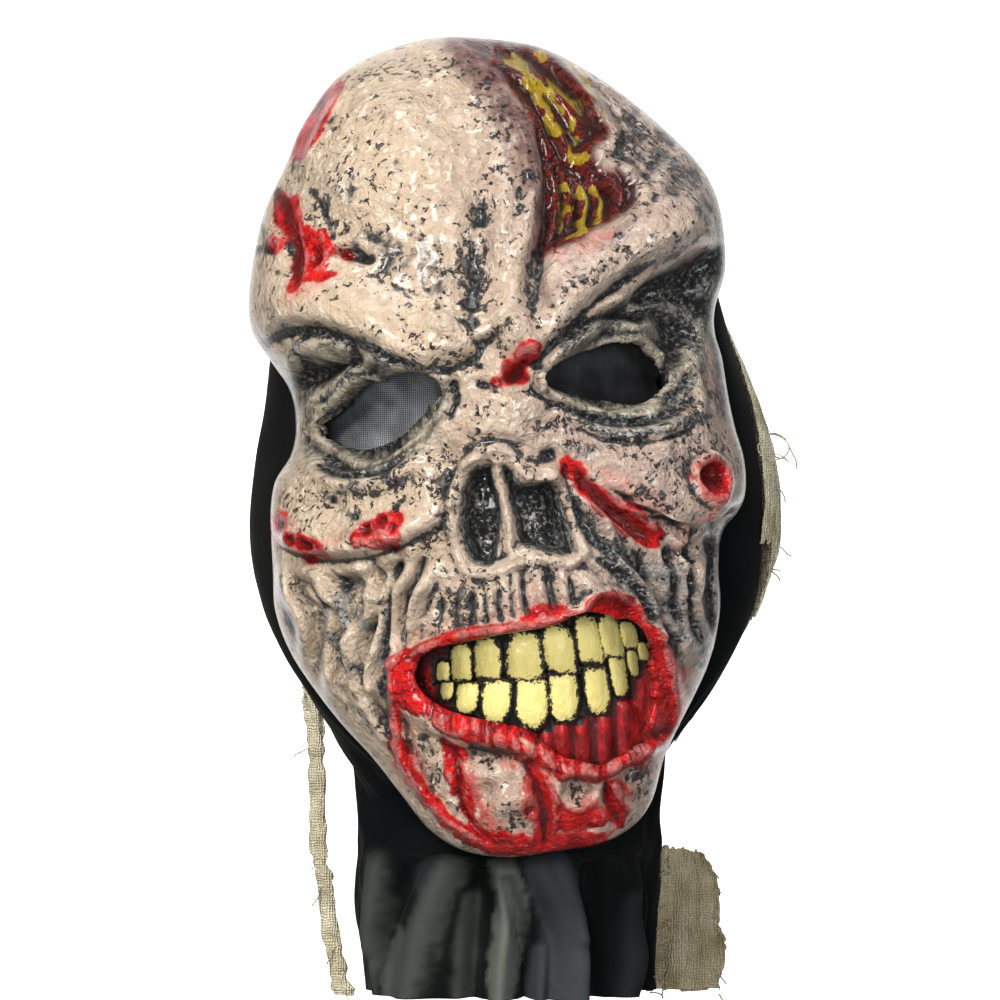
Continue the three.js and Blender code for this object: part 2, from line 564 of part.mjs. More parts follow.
// The face casting with its eye holes and its mouth
function faceShell() {
  const outer = faceGrids(0);
  const inner = faceGrids(latexWall);
  const rim = gridFaces([outer.side.at(-1), inner.side.at(-1)], true);
  const wall = solid([...skinOf(outer), ...flipped(skinOf(inner)), ...rim]);
  return [leftEyeHole, rightEyeHole, mouthHole].reduce(
    (shell, hole) => shell.subtract(prismOf(drawn(hole, true).slice(0, -1))),
    wall,
  );
}

// One section of the hood: an oval in a plane through the throat's fold line
function hoodSection(row, turn) {
  const lean = THREE.MathUtils.degToRad(row.lean);
  const size = Math.hypot(hoodDepth * Math.sin(lean), hoodHeight * Math.cos(lean));
  const near = row.near * size;
  const far = row.far * size;
  const angle = turn * 2 * Math.PI;
  const fold = foldAt(turn) * row.fold;
  const out = (near + far) / 2 + ((far - near) / 2 + fold) * Math.cos(angle);
  return new THREE.Vector3(
    hoodAside + ((row.wide * hoodWidth) / 2 + fold) * Math.sin(angle),
    out * Math.sin(lean) - throatBehind,
    out * Math.cos(lean) - throatBelow,
  );
}

// The fold's height at a place round the hood
function foldAt(turn) {
  return foldRows.reduce((sum, row) => {
    const away = Math.abs(turn - row.at);
    const round = Math.min(away, 1 - away);
    return sum + row.rise * hundredth * neckWidth * Math.exp(-((round / row.half) ** 2));
  }, 0);
}

const hoodTurns = rimTurns.filter((_, i) => i % 2 === 0);

// The hood's outer surface: its edge tucked inside the latex, the turn out past the rim, the
// sections round the head, and the drape down to the hem. It has every second of the
// face's columns.
function hoodGrid() {
  const turns = hoodTurns;
  const edge = [1 + tuckStep, 2].map((reach) =>
    turns.map((turn) => towards(facePoint(turn, reach), forehead, latexWall + tuckGap)),
  );
  const past = edge[1].map((p) => p.clone().setY(p.y + rimLap));
  const rings = hoodRows.map((row) =>
    turns.map((turn, i) => {
      const oval = hoodSection(row, turn);
      return row.round < 1 ? past[i].clone().lerp(oval, row.round) : oval;
    }),
  );
  const neck = hoodRows.at(-1);
  const middle = ((neck.far + neck.near) / 2) * hoodDepth - throatBehind;
  const drape = drapeRows.map((row) =>
    turns.map((turn) => {
      const angle = turn * 2 * Math.PI;
      const fold = foldAt(turn) * row.fold;
      return new THREE.Vector3(
        hoodAside + ((row.wide * neckWidth) / 2 + fold) * Math.sin(angle),
        middle + ((row.deep * neckDepth) / 2 + fold) * Math.cos(angle),
        -throatBelow - row.down * drapeDrop,
      );
    }),
  );
  return [...edge, past, ...rings, ...drape];
}

// A grid moved towards each ring's own middle
function shrunk(rows, move) {
  return rows.map((row) => {
    const middle = row.reduce((sum, p) => sum.add(p), new THREE.Vector3()).divideScalar(row.length);
    return row.map((p) => towards(p, middle, move));
  });
}

const hoodOuter = hoodGrid();

function hood() {
  return wallSolid(hoodOuter, shrunk(hoodOuter, clothWall), true);
}

// A ribbon along rows of points. Each row lies level, and the wall stands on both sides of it.
function ribbon(rows) {
  const offset = (side) => (row) =>
    row.map((point, j) => {
      const along = new THREE.Vector3().subVectors(
        row[Math.min(j + 1, row.length - 1)],
        row[Math.max(j - 1, 0)],
      );
      return point.clone().add(new THREE.Vector3(along.y, -along.x, 0).setLength((side * gauzeWall) / 2));
    });
  return wallSolid(rows.map(offset(1)), rows.map(offset(-1)), false);
}

// The columns of the hood between two places round it, from its rings
const seat = fitGap + gauzeWall / 2;
function hoodPatch(rings, from, to, out) {
  return shrunk(rings, -out).map((row) =>
    row.filter((_, i) => hoodTurns[i] > from && hoodTurns[i] < to),
  );
}

// The left strand: its knot sits on the hood behind the jaw, and it hangs free
function leftGauze() {
  const knot = hoodOuter[hoodRows.length - 1].reduce((best, p) => (p.x < best.x ? p : best));
  return ribbon(
    strandRows.map((row) => {
      const turn = THREE.MathUtils.degToRad(row.turn);
      const across = new THREE.Vector3(Math.cos(turn), Math.sin(turn), 0);
      const middle = new THREE.Vector3(
        knot.x - 2 * seat + row.out * hundredth * strandDrop,
        knot.y + row.back * hundredth * strandDrop,
        knot.z - row.down * strandDrop,
      );
      return [-1, 0, 1].map((side) =>
        middle.clone().addScaledVector(across, (side * row.wide * strandWidth) / 2),
      );
    }),
  );
}

// The scrap behind the right cheek: it lies on the hood and puffs out between its ends
function rightGauze() {
  const rings = hoodOuter.slice(...scrapRings);
  const puff = (i) => scrapPuff * Math.sin((Math.PI * i) / (rings.length - 1));
  const side = (out) => rings.map((ring, i) => hoodPatch([ring], scrapFrom, scrapTo, out + puff(i))[0]);
  return wallSolid(side(fitGap + gauzeWall), side(fitGap), false);
}

// The panel at the neck: it lies on the back of the drape and flares past its right side
function neckGauze() {
  const rows = hoodPatch(hoodOuter.slice(-panelRows.length), panelFrom, panelTo, seat);
  return ribbon(
    rows.map((row, i) => {
      const start = row.at(-1);
      const free = Array.from({ length: panelCells }, (_, j) => {
        const reach = panelRows[i].flare * panelFlare * ((j + 1) / panelCells);
        return start.clone().add(new THREE.Vector3(reach, reach * panelRows[i].sway, 0));
      });
      return [...row, ...free];
    }),
  );
}

const pieces = new THREE.Group();
pieces.position.z = latexWall - faceHeight / 2;

function addPiece(name, made, colour, roughness) {
  const mesh = made.getMesh();
  const geometry = new THREE.BufferGeometry();
  geometry.setAttribute("position", new THREE.BufferAttribute(mesh.vertProperties, 3));
  geometry.setIndex(new THREE.BufferAttribute(mesh.triVerts, 1));
  geometry.computeVertexNormals();
  const material = new THREE.MeshStandardMaterial({ color: colour, roughness, metalness: 0 });
  const piece = new THREE.Mesh(geometry, material);
  piece.name = name;
  pieces.add(piece);
}

addPiece("face_shell", faceShell(), 0xc9ab88, 0.45);
addPiece("eye_mesh_left", liningOf(leftEyeHole, eyeMeshMargin, eyeMeshWall), 0x24272a, 0.9);
addPiece("eye_mesh_right", liningOf(rightEyeHole, eyeMeshMargin, eyeMeshWall), 0x24272a, 0.9);
addPiece("upper_teeth", teethOf(upperTeethRows, 1), 0xf0dc82, 0.4);
addPiece("lower_teeth", teethOf(lowerTeethRows, -1), 0xf0dc82, 0.4);
addPiece("hood", hood(), 0x1c1e20, 0.95);
addPiece("gauze_left", leftGauze(), 0xb3a882, 0.95);
addPiece("gauze_right", rightGauze(), 0xb3a882, 0.95);
addPiece("gauze_neck", neckGauze(), 0xb3a882, 0.95);

export default pieces;
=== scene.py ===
import math

import bpy
import numpy as np
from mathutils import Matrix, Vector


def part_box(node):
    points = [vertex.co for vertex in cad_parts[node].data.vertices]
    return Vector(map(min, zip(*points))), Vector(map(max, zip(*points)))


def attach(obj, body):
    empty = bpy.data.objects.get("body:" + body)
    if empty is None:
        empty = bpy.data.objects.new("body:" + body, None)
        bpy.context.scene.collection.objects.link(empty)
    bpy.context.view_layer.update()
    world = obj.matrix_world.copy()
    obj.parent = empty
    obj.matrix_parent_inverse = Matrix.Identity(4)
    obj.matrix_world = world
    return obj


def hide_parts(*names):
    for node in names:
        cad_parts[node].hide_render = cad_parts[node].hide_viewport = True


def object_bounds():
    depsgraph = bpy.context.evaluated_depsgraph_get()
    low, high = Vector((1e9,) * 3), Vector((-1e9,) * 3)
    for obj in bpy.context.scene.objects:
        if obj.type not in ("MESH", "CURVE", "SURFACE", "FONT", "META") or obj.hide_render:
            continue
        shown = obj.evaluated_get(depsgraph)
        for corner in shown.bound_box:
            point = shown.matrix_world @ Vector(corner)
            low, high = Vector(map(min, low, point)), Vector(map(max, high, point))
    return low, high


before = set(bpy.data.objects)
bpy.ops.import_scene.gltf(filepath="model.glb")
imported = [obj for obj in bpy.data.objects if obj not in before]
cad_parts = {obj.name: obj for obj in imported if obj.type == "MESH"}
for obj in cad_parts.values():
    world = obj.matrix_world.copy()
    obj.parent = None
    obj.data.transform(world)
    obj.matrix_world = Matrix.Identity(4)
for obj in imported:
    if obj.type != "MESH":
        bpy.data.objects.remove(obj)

cad_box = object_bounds()
bpy.ops.object.select_all(action="DESELECT")


# The view and the studio. The picture is 1000 steps wide and high, and a step is 0.34 mm in
# the plane of the face's outline, two metres in front of the camera. Places on the mask are
# read in these steps, to the right and downwards.
STEP = 0.00034
VIEW_DISTANCE = 2.0
PICTURE_MIDDLE = 500
FACE_MIDDLE = (496.5, 447)
FACE_STEPS = (493, 820)
FACE_HEIGHT = 0.279
SENSOR = 36

face_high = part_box("face_shell")[1]
middle_z = face_high[2] - FACE_HEIGHT / 2
view_x = (PICTURE_MIDDLE - FACE_MIDDLE[0]) * STEP
view_z = middle_z - (PICTURE_MIDDLE - FACE_MIDDLE[1]) * STEP


def in_space(right, down, depth):
    """The place of a point that the picture shows, at a depth behind the outline's plane."""
    scale = STEP * (1 + depth / VIEW_DISTANCE)
    return view_x + (right - PICTURE_MIDDLE) * scale, view_z - (down - PICTURE_MIDDLE) * scale


def in_picture(x, y, z):
    scale = STEP * (1 + y / VIEW_DISTANCE)
    return PICTURE_MIDDLE + (x - view_x) / scale, PICTURE_MIDDLE - (z - view_z) / scale


def add_camera():
    bpy.ops.object.camera_add(
        location=(view_x, -VIEW_DISTANCE, view_z), rotation=(math.radians(90), 0, 0)
    )
    camera = bpy.context.object
    camera.data.lens = SENSOR * VIEW_DISTANCE / (2 * PICTURE_MIDDLE * STEP)
    camera.data.sensor_width = SENSOR
    bpy.context.scene.camera = camera


def add_light(name, place, size, power, colour, gloss=1.0):
    bpy.ops.object.light_add(type="AREA", location=place)
    light = bpy.context.object
    light.name = name
    light.data.size = size
    light.data.energy = power
    light.data.color = colour
    light.data.specular_factor = gloss
    target = np.array((view_x, 0, view_z)) - np.array(place)
    light.rotation_euler = (
        math.atan2(math.hypot(target[0], target[1]), -target[2]),
        0,
        math.atan2(target[1], target[0]) - math.pi / 2,
    )


class Recipe:
    """A material, and short calls that add the nodes of its recipe."""

    def __init__(self, name):
        self.material = bpy.data.materials.new(name)
        self.material.use_nodes = True
        self.nodes = self.material.node_tree.nodes
        self.links = self.material.node_tree.links
        self.place = self.nodes.new("ShaderNodeTexCoord").outputs["Object"]

    def wire(self, node, inputs, output):
        """Link or set a node's inputs, and give one of its outputs."""
        for key, value in inputs.items():
            if isinstance(value, bpy.types.NodeSocket):
                self.links.new(value, node.inputs[key])
            elif isinstance(value, tuple):
                node.inputs[key].default_value = (*value, 1)
            else:
                node.inputs[key].default_value = value
        return node.outputs[output]

    def noise(self, scale, detail=2.0, roughness=0.6, distortion=0.0, place=None):
        return self.wire(self.nodes.new("ShaderNodeTexNoise"), {
            "Vector": self.place if place is None else place, "Scale": scale, "Detail": detail,
            "Roughness": roughness, "Distortion": distortion,
        }, "Fac")

    def weave(self, join, scale, distortion, detail):
        """Threads that cross, as waves along the width and the height."""
        threads = []
        for direction in ("X", "Z"):
            wave = self.nodes.new("ShaderNodeTexWave")
            wave.bands_direction = direction
            threads.append(self.wire(wave, {
                "Vector": self.place, "Scale": scale, "Distortion": distortion, "Detail": detail,
            }, "Fac"))
        return self.sums(join, *threads)

    def axis(self, name):
        return self.wire(self.nodes.new("ShaderNodeSeparateXYZ"), {"Vector": self.place}, name)

    def layer(self, name):
        """A share that the mesh's points carry."""
        node = self.nodes.new("ShaderNodeAttribute")
        node.attribute_name = name
        return node.outputs["Fac"]

    def sums(self, kind, *values):
        node = self.nodes.new("ShaderNodeMath")
        node.operation = kind
        return self.wire(node, dict(enumerate(values)), "Value")

    def times(self, a, b):
        return self.sums("MULTIPLY", a, b)

    def plus(self, a, b, share=1.0):
        """A value and a share of another one."""
        return self.sums("MULTIPLY_ADD", b, share, a)

    def band(self, value, low, high, bottom=0.0, top=1.0, steps="LINEAR"):
        """A value's way from low to high, as a number from bottom to top."""
        node = self.nodes.new("ShaderNodeMapRange")
        node.interpolation_type = steps
        return self.wire(node, {
            "Value": value, "From Min": low, "From Max": high, "To Min": bottom, "To Max": top,
        }, "Result")

    def blend(self, share, under, over):
        node = self.nodes.new("ShaderNodeMix")
        node.data_type = "RGBA"
        return self.wire(node, {"Factor": share, 6: under, 7: over}, 2)

    def ramp(self, value, low, dark, high, light):
        """Colours from dark to light as a value goes from low to high."""
        node = self.nodes.new("ShaderNodeValToRGB")
        for stop, at, colour in zip(node.color_ramp.elements, (low, high), (dark, light)):
            stop.position = at
            stop.color = (*colour, 1)
        return self.wire(node, {"Fac": value}, "Color")

    def finish(self, inputs, height=None, strength=1.0, distance=1.0):
        """The material with its shader's inputs, and bumps of a distance in metres."""
        shader = self.nodes["Principled BSDF"]
        if height is not None:
            inputs["Normal"] = self.wire(self.nodes.new("ShaderNodeBump"), {
                "Height": height, "Strength": strength, "Distance": distance,
            }, "Normal")
        self.wire(shader, inputs, "BSDF")
        return self.material


def make_paper():
    """White paper with painted light: it glows behind the mask, and its colour darkens to the front
    and the sides as painted shade.
    """
    recipe = Recipe("studio_paper")
    # Painted light: the paper glows behind the mask and in the middle, and where the glow fades its
    # colour darkens as painted shade
    glow = recipe.band(recipe.axis("Y"), 1.3, 1.8)
    middle = recipe.band(recipe.sums("ABSOLUTE", recipe.axis("X")), 0.9, 0.5)
    lit = recipe.times(glow, middle)
    return recipe.finish({
        "Base Color": recipe.ramp(lit, 0, (0.1, 0.1, 0.1), 1, (0.9, 0.9, 0.9)),
        "Roughness": 0.9, "Emission Color": (1, 1, 1), "Emission Strength": lit,
    })


def add_studio():
    """A pale sheet that runs as the floor under the mask and bends up behind it."""
    floor_z = cad_box[0][2] - 0.06
    bpy.ops.mesh.primitive_plane_add(size=6, location=(0, -1, floor_z))
    sheet = bpy.context.object
    sheet.name = "studio_sheet"
    bpy.ops.object.mode_set(mode="EDIT")
    bpy.ops.mesh.select_all(action="DESELECT")
    bpy.ops.mesh.select_mode(type="EDGE")
    bpy.ops.object.mode_set(mode="OBJECT")
    for edge in sheet.data.edges:
        edge.select = all(sheet.data.vertices[v].co.y > 0 for v in edge.vertices)
    bpy.ops.object.mode_set(mode="EDIT")
    bpy.ops.mesh.extrude_region_move(TRANSFORM_OT_translate={"value": (0, 0, 5)})
    bpy.ops.mesh.select_all(action="DESELECT")
    bpy.ops.object.mode_set(mode="OBJECT")
    for edge in sheet.data.edges:
        ends = [sheet.data.vertices[v].co for v in edge.vertices]
        edge.select = all(p.y > 0 and p.z < 1 for p in ends)
    bpy.ops.object.mode_set(mode="EDIT")
    bpy.ops.mesh.bevel(offset=1.2, segments=12)
    bpy.ops.object.mode_set(mode="OBJECT")
    sheet.data.materials.append(make_paper())


add_camera()
add_studio()
add_light("key_light", (-0.7, -1.5, 0.75), 0.5, 38, (1.0, 0.97, 0.93))
add_light("fill_light", (1.2, -1.5, 0.2), 0.6, 13, (0.95, 0.97, 1.0))
add_light("top_light", (-0.1, -0.5, 1.3), 0.6, 13, (1.0, 1.0, 1.0))
add_light("front_light", (-0.15, -2.0, -0.1), 0.4, 22, (1.0, 0.99, 0.97), 0.1)
air = bpy.data.worlds.new("studio_air")
air.use_nodes = True
air.node_tree.nodes["Background"].inputs["Color"].default_value = (1, 1, 1, 1)
air.node_tree.nodes["Background"].inputs["Strength"].default_value = 0.05
bpy.context.scene.world = air
bpy.context.scene.view_settings.view_transform = "Standard"
bpy.ops.object.select_all(action="DESELECT")


# The face: one hollow casting of latex, poured in a mould and painted. It reaches from the
# crown to the chin and back past the temples, with eye holes and an open mouth cut out.
MM = 0.001
CASTING_WALL = 2.6 * MM
NOSE_ROOT_DEPTH = -80 * MM
NOSE_ROOT = (508, 469)
CELLS_ACROSS = 190
CELLS_DOWN = 300
EDGE_CROWDING = 0.22
MIDDLE_CROWDING = 0.3
SIDE_RINGS = 9
SHELF_DROP = 0.24

# The outline clockwise from the crown: place in the picture, depth of the outline and of
# the rear rim behind its plane in mm, and the share of the outline's size that the rim keeps
OUTLINE = [
    (482, 38, 2, 45, 0.94), (540, 47, 2, 45, 0.94), (590, 72, 2, 44, 0.94),
    (630, 100, 2, 43, 0.94), (668, 133, 3, 42, 0.94), (698, 164, 3, 40, 0.94),
    (716, 197, 4, 38, 0.94), (724, 240, 4, 37, 0.94), (725, 272, 3, 35, 0.94),
    (715, 308, 3, 34, 0.95), (715, 333, 2, 33, 0.95), (722, 358, 0, 33, 0.95),
    (728, 395, -2, 31, 0.95), (735, 428, -6, 30, 0.93), (744, 460, -11, 28, 0.91),
    (745, 490, -11, 26, 0.91), (738, 511, -9, 25, 0.92), (723, 531, -6, 22, 0.93),
    (718, 565, -5, 19, 0.93), (720, 605, -6, 16, 0.92), (713, 650, -11, 12, 0.91),
    (697, 690, -18, 7, 0.91), (680, 722, -25, 2, 0.91), (664, 757, -32, -2, 0.91),
    (652, 800, -40, -6, 0.91), (632, 827, -46, -9, 0.91), (598, 844, -50, -11, 0.92),
    (555, 851, -52, -12, 0.92), (508, 857, -53, -12, 0.92), (465, 851, -50, -11, 0.92),
    (430, 830, -44, -9, 0.91), (403, 797, -36, -5, 0.91), (372, 757, -28, 1, 0.91),
    (340, 722, -20, 6, 0.91), (310, 683, -13, 11, 0.91), (289, 650, -9, 14, 0.91),
    (275, 610, -7, 17, 0.92), (273, 570, -6, 19, 0.93), (271, 520, -9, 23, 0.93),
    (275, 483, -8, 26, 0.94), (291, 454, -4, 29, 0.95), (296, 425, -1, 31, 0.96),
    (290, 391, 1, 32, 0.96), (270, 360, 2, 33, 0.95), (254, 335, 2, 34, 0.94),
    (249, 305, 2, 35, 0.93), (254, 255, 2, 36, 0.92), (266, 208, 3, 38, 0.93),
    (287, 163, 3, 40, 0.93), (303, 125, 3, 41, 0.93), (333, 82, 2, 43, 0.93),
    (370, 57, 2, 44, 0.94), (425, 39, 2, 45, 0.94),
]

LEFT_EYE_HOLE = [
    (318, 424), (333, 408), (354, 396), (376, 381), (399, 374), (419, 372), (437, 381),
    (441, 393), (433, 405), (419, 419), (402, 436), (381, 446), (361, 450), (342, 446),
    (326, 439), (317, 432),
]
RIGHT_EYE_HOLE = [
    (542, 380), (560, 362), (587, 351), (612, 343), (637, 344), (659, 353), (676, 366),
    (680, 376), (667, 391), (650, 400), (632, 405), (605, 401), (578, 396), (555, 389),
]
MOUTH_HOLE = [
    (414, 668), (424, 655), (440, 647), (471, 641), (500, 635), (530, 630), (555, 625),
    (572, 616), (591, 612), (612, 616), (632, 621), (645, 634), (653, 660), (658, 690),
    (654, 722), (640, 747), (618, 759), (601, 765), (580, 761), (559, 755), (545, 743),
    (530, 730), (505, 724), (475, 718), (450, 711), (428, 698), (416, 683),
]


def smooth_line(points, closed=False, pieces=6):
    """A drawn line as short stretches, through its points."""
    at = np.array(points, dtype=float)
    if len(at) < 3:
        return at
    before = np.roll(at, 1, 0) if closed else np.vstack([at[:1], at[:-1]])
    after = np.roll(at, -1, 0) if closed else np.vstack([at[1:], at[-1:]])
    beyond = np.roll(at, -2, 0) if closed else np.vstack([at[2:], at[-1:], at[-1:]])
    t = (np.arange(pieces) / pieces)[None, :, None]
    a, b, c, d = (row[:, None, :] for row in (before, at, after, beyond))
    line = 0.5 * (
        2 * b + (c - a) * t + (2 * a - 5 * b + 4 * c - d) * t**2 + (3 * b - a - 3 * c + d) * t**3
    )
    line = line.reshape(-1, at.shape[1])
    return line if closed else np.vstack([line[: -pieces], at[-1:]])


def step_up(low, high, value):
    t = np.clip((value - low) / (high - low), 0, 1)
    return t * t * (3 - 2 * t)


LATTICE = 64


class Grain:
    """Even noise from -1 to 1 over the picture, the same on every run."""

    def __init__(self, seed):
        self.lattice = np.random.default_rng(seed).uniform(-1, 1, (LATTICE, LATTICE))

    def __call__(self, right, down, size):
        x, y = right / size, down / size
        left, top = np.floor(x).astype(int), np.floor(y).astype(int)
        a, b = x - left, y - top
        a, b = a * a * (3 - 2 * a), b * b * (3 - 2 * b)
        at = lambda i, j: self.lattice[(top + j) % LATTICE, (left + i) % LATTICE]
        upper = at(0, 0) * (1 - a) + at(1, 0) * a
        lower = at(0, 1) * (1 - a) + at(1, 1) * a
        return upper * (1 - b) + lower * b


class Surface:
    """Points of a mesh by their place in the picture, and what is carved and painted there."""

    def __init__(self, right, down, share):
        self.right, self.down, self.share = right, down, share
        self.relief = np.zeros(len(right))
        self.paint = {}

    def near(self, line, reach):
        """The points within reach of a line: index, distance, side and way along it."""
        low, high = line.min(0) - reach, line.max(0) + reach
        found = np.flatnonzero(
            (self.right > low[0]) & (self.right < high[0])
            & (self.down > low[1]) & (self.down < high[1]) & (self.share > 0)
        )
        at = np.stack([self.right[found], self.down[found]], 1)
        if len(line) == 1:
            return found, np.hypot(*(at - line[0]).T), np.ones(len(found)), np.full(len(found), 0.5)
        start, way = line[:-1], line[1:] - line[:-1]
        length = np.hypot(*way.T)
        passed = np.concatenate([[0], np.cumsum(length)])
        best = np.full(len(found), np.inf)
        side = np.ones(len(found))
        along = np.zeros(len(found))
        for i in range(len(start)):
            rel = at - start[i]
            t = np.clip((rel @ way[i]) / length[i] ** 2, 0, 1)
            gap = np.hypot(*(rel - t[:, None] * way[i]).T)
            nearer = gap < best
            best[nearer] = gap[nearer]
            side[nearer] = np.sign(way[i][0] * rel[:, 1] - way[i][1] * rel[:, 0])[nearer]
            along[nearer] = ((passed[i] + t * length[i]) / passed[-1])[nearer]
        return found, best, side, along

    def form(self, points, reach, height, shape="round", ends=0.35):
        """Raise or cut a form along a line: round, sharp, flat, or a shelf that drops below."""
        line = smooth_line(points)
        found, gap, side, along = self.near(line, reach)
        if len(line) > 1:
            taper = np.minimum(1, ends + (1 - ends) * np.sin(np.pi * along) * 1.6)
        else:
            taper = 1
        width = reach * (np.where(side > 0, SHELF_DROP, 1) if shape == "shelf" else 1)
        d = np.clip(gap / width, 0, 1)
        if shape == "sharp":
            rise = (1 - d) ** 1.5
        elif shape == "flat":
            rise = 1 - step_up(0.45, 1, d)
        else:
            rise = (1 - d * d) ** 2
        self.relief[found] += self.share[found] * height * MM * rise * taper

    def forms(self, rows):
        """Form each row of a table."""
        for row in rows:
            self.form(*row)

    def inside(self, outline, reach):
        """Signed distance into a closed outline, for the points in it or within reach."""
        line = smooth_line(outline, closed=True)
        line = np.vstack([line, line[:1]])
        found, gap, _, _ = self.near(line, reach)
        x, y = self.right[found], self.down[found]
        crossings = np.zeros(len(found), dtype=int)
        for (x0, y0), (x1, y1) in zip(line[:-1], line[1:]):
            if y0 == y1:
                continue
            crossings += ((y0 > y) != (y1 > y)) & (x < (x1 - x0) * (y - y0) / (y1 - y0) + x0)
        return found, np.where(crossings % 2 == 1, gap, -gap)

    def basin(self, outline, depth, edge):
        """Sink a closed outline, over an edge inside it."""
        found, deep = self.inside(outline, 1)
        self.relief[found] -= self.share[found] * depth * MM * step_up(0, edge, deep)

    def stroke(self, name, points, reach, strength=1.0, rag=0.45, ends=0.5, soft=0.4):
        """Brush a paint along a line, with a ragged edge that fades over its soft share."""
        layer = self.paint.setdefault(name, np.zeros(len(self.right)))
        line = smooth_line(points)
        spread = reach * 1.6
        found, gap, _, along = self.near(line, spread)
        x, y = self.right[found], self.down[found]
        taper = ends + (1 - ends) * np.sin(np.pi * along) if len(line) > 1 else 1
        wander = brush(x, y, 9) * 0.6 + brush(x + 40, y, 3.5) * 0.4
        edge = 1 - gap / (reach * taper) + rag * wander
        laid = strength * self.share[found] * step_up(-0.05, soft - 0.05, edge)
        layer[found] = np.maximum(layer[found], laid)

    def fill(self, name, outline, edge, strength=1.0, rag=4.0):
        """Paint a closed outline, with an edge that spreads past it."""
        layer = self.paint.setdefault(name, np.zeros(len(self.right)))
        found, deep = self.inside(outline, edge + rag)
        wander = brush(self.right[found], self.down[found], 11)
        laid = strength * self.share[found] * step_up(-edge, edge * 0.3, deep + rag * wander)
        layer[found] = np.maximum(layer[found], laid)


brush = Grain(11)
lumps = Grain(23)


def outline_round():
    """The outline by its turn round the nose's root: places in space, rim and pull."""
    rows = smooth_line(OUTLINE, closed=True, pieces=12)
    depth, rim = rows[:, 2] * MM, rows[:, 3] * MM
    x, z = in_space(rows[:, 0], rows[:, 1], depth)
    right = rows[:, 0] - NOSE_ROOT[0]
    up = NOSE_ROOT[1] - rows[:, 1]
    turn = np.arctan2(right / FACE_STEPS[0], up / FACE_STEPS[1]) / (2 * np.pi) % 1
    order = np.argsort(turn)
    return turn[order], np.stack([x, depth, z, rim, rows[:, 4]], 1)[order]


def face_base(u, v, ring):
    """The casting's plain form over a square of cells, and over rings behind its outline."""
    crowd = lambda s: s * (1 - MIDDLE_CROWDING) + MIDDLE_CROWDING * s**3
    u, v = crowd(u), crowd(v)
    right, up = u * np.sqrt(1 - v * v / 2), v * np.sqrt(1 - u * u / 2)
    radius = np.minimum(np.hypot(right, up), 1)
    reach = np.minimum(radius * (1 + EDGE_CROWDING * (1 - radius**2)), 1)
    turn = np.arctan2(right, up) / (2 * np.pi) % 1
    turns, rows = outline_round()
    edge = np.stack([np.interp(turn, turns, column, period=1) for column in rows.T], 1)
    root_x, root_z = in_space(*NOSE_ROOT, NOSE_ROOT_DEPTH)
    back = ring / SIDE_RINGS
    round_off = 1 - np.sqrt(1 - reach**2)
    keep = 1 - (1 - edge[:, 4]) * back**2
    x = np.where(ring > 0, edge[:, 0] * keep, root_x + (edge[:, 0] - root_x) * reach)
    z = np.where(
        ring > 0, middle_z + (edge[:, 2] - middle_z) * keep, root_z + (edge[:, 2] - root_z) * reach
    )
    y = np.where(
        ring > 0,
        edge[:, 1] + (edge[:, 3] - edge[:, 1]) * back,
        NOSE_ROOT_DEPTH + (edge[:, 1] - NOSE_ROOT_DEPTH) * round_off,
    )
    return np.stack([x, y, z], 1), reach


# A form's row: a line of places in the picture, its reach in steps and its height in mm, then
# for some a shape, and the share of the height that the line's ends keep
FOREHEAD_FORMS = [
    ([(330, 215), (395, 150), (440, 118)], 135, 4.5), ([(640, 185), (692, 225)], 78, 4),
    ([(484, 190), (477, 250), (470, 300), (474, 338)], 24, -5),
    ([(500, 190), (509, 262), (513, 345)], 24, 3.5), ([(513, 336)], 24, 5),
    ([(550, 186), (543, 240), (530, 292), (540, 318)], 17, -4.5),
    ([(600, 225), (640, 205), (690, 200)], 14, -1.2),
]


def carve_forehead(s):
    s.forms(FOREHEAD_FORMS)


BROW_FORMS = [
    ([(530, 350), (572, 306), (618, 268), (672, 243), (726, 232)], 66, 9, "shelf", 0.7),
    ([(256, 330), (290, 316), (330, 317), (370, 332), (408, 346), (438, 356),
     (466, 346)], 72, 9.5, "shelf", 0.7),
    ([(446, 338), (458, 322)], 34, 4), ([(600, 296), (650, 256), (700, 238)], 8, -1.6, "sharp"),
    ([(560, 322), (604, 278), (640, 252)], 10, -1.4),
    ([(436, 356), (446, 358), (455, 352)], 5, -1.6, "sharp"),
]
SOCKET_BASINS = [
    ([(284, 356), (300, 343), (328, 338), (356, 345), (395, 364), (440, 375), (463, 375),
     (453, 407), (430, 442), (395, 470), (350, 482), (312, 472), (297, 440), (293, 405)], 12, 24),
    ([(540, 368), (560, 348), (613, 300), (665, 264), (716, 243), (722, 275), (712, 320),
     (704, 352), (697, 390), (674, 414), (630, 424), (580, 414), (548, 397)], 13, 24),
]
SOCKET_FORMS = [
    ([(648, 292), (686, 300)], 32, -5), ([(560, 350), (600, 318), (640, 300)], 8, -2.5, "sharp"),
]


def carve_brows(s):
    s.forms(BROW_FORMS)
    for outline, depth, edge in SOCKET_BASINS:
        s.basin(outline, depth, edge)
    s.forms(SOCKET_FORMS)


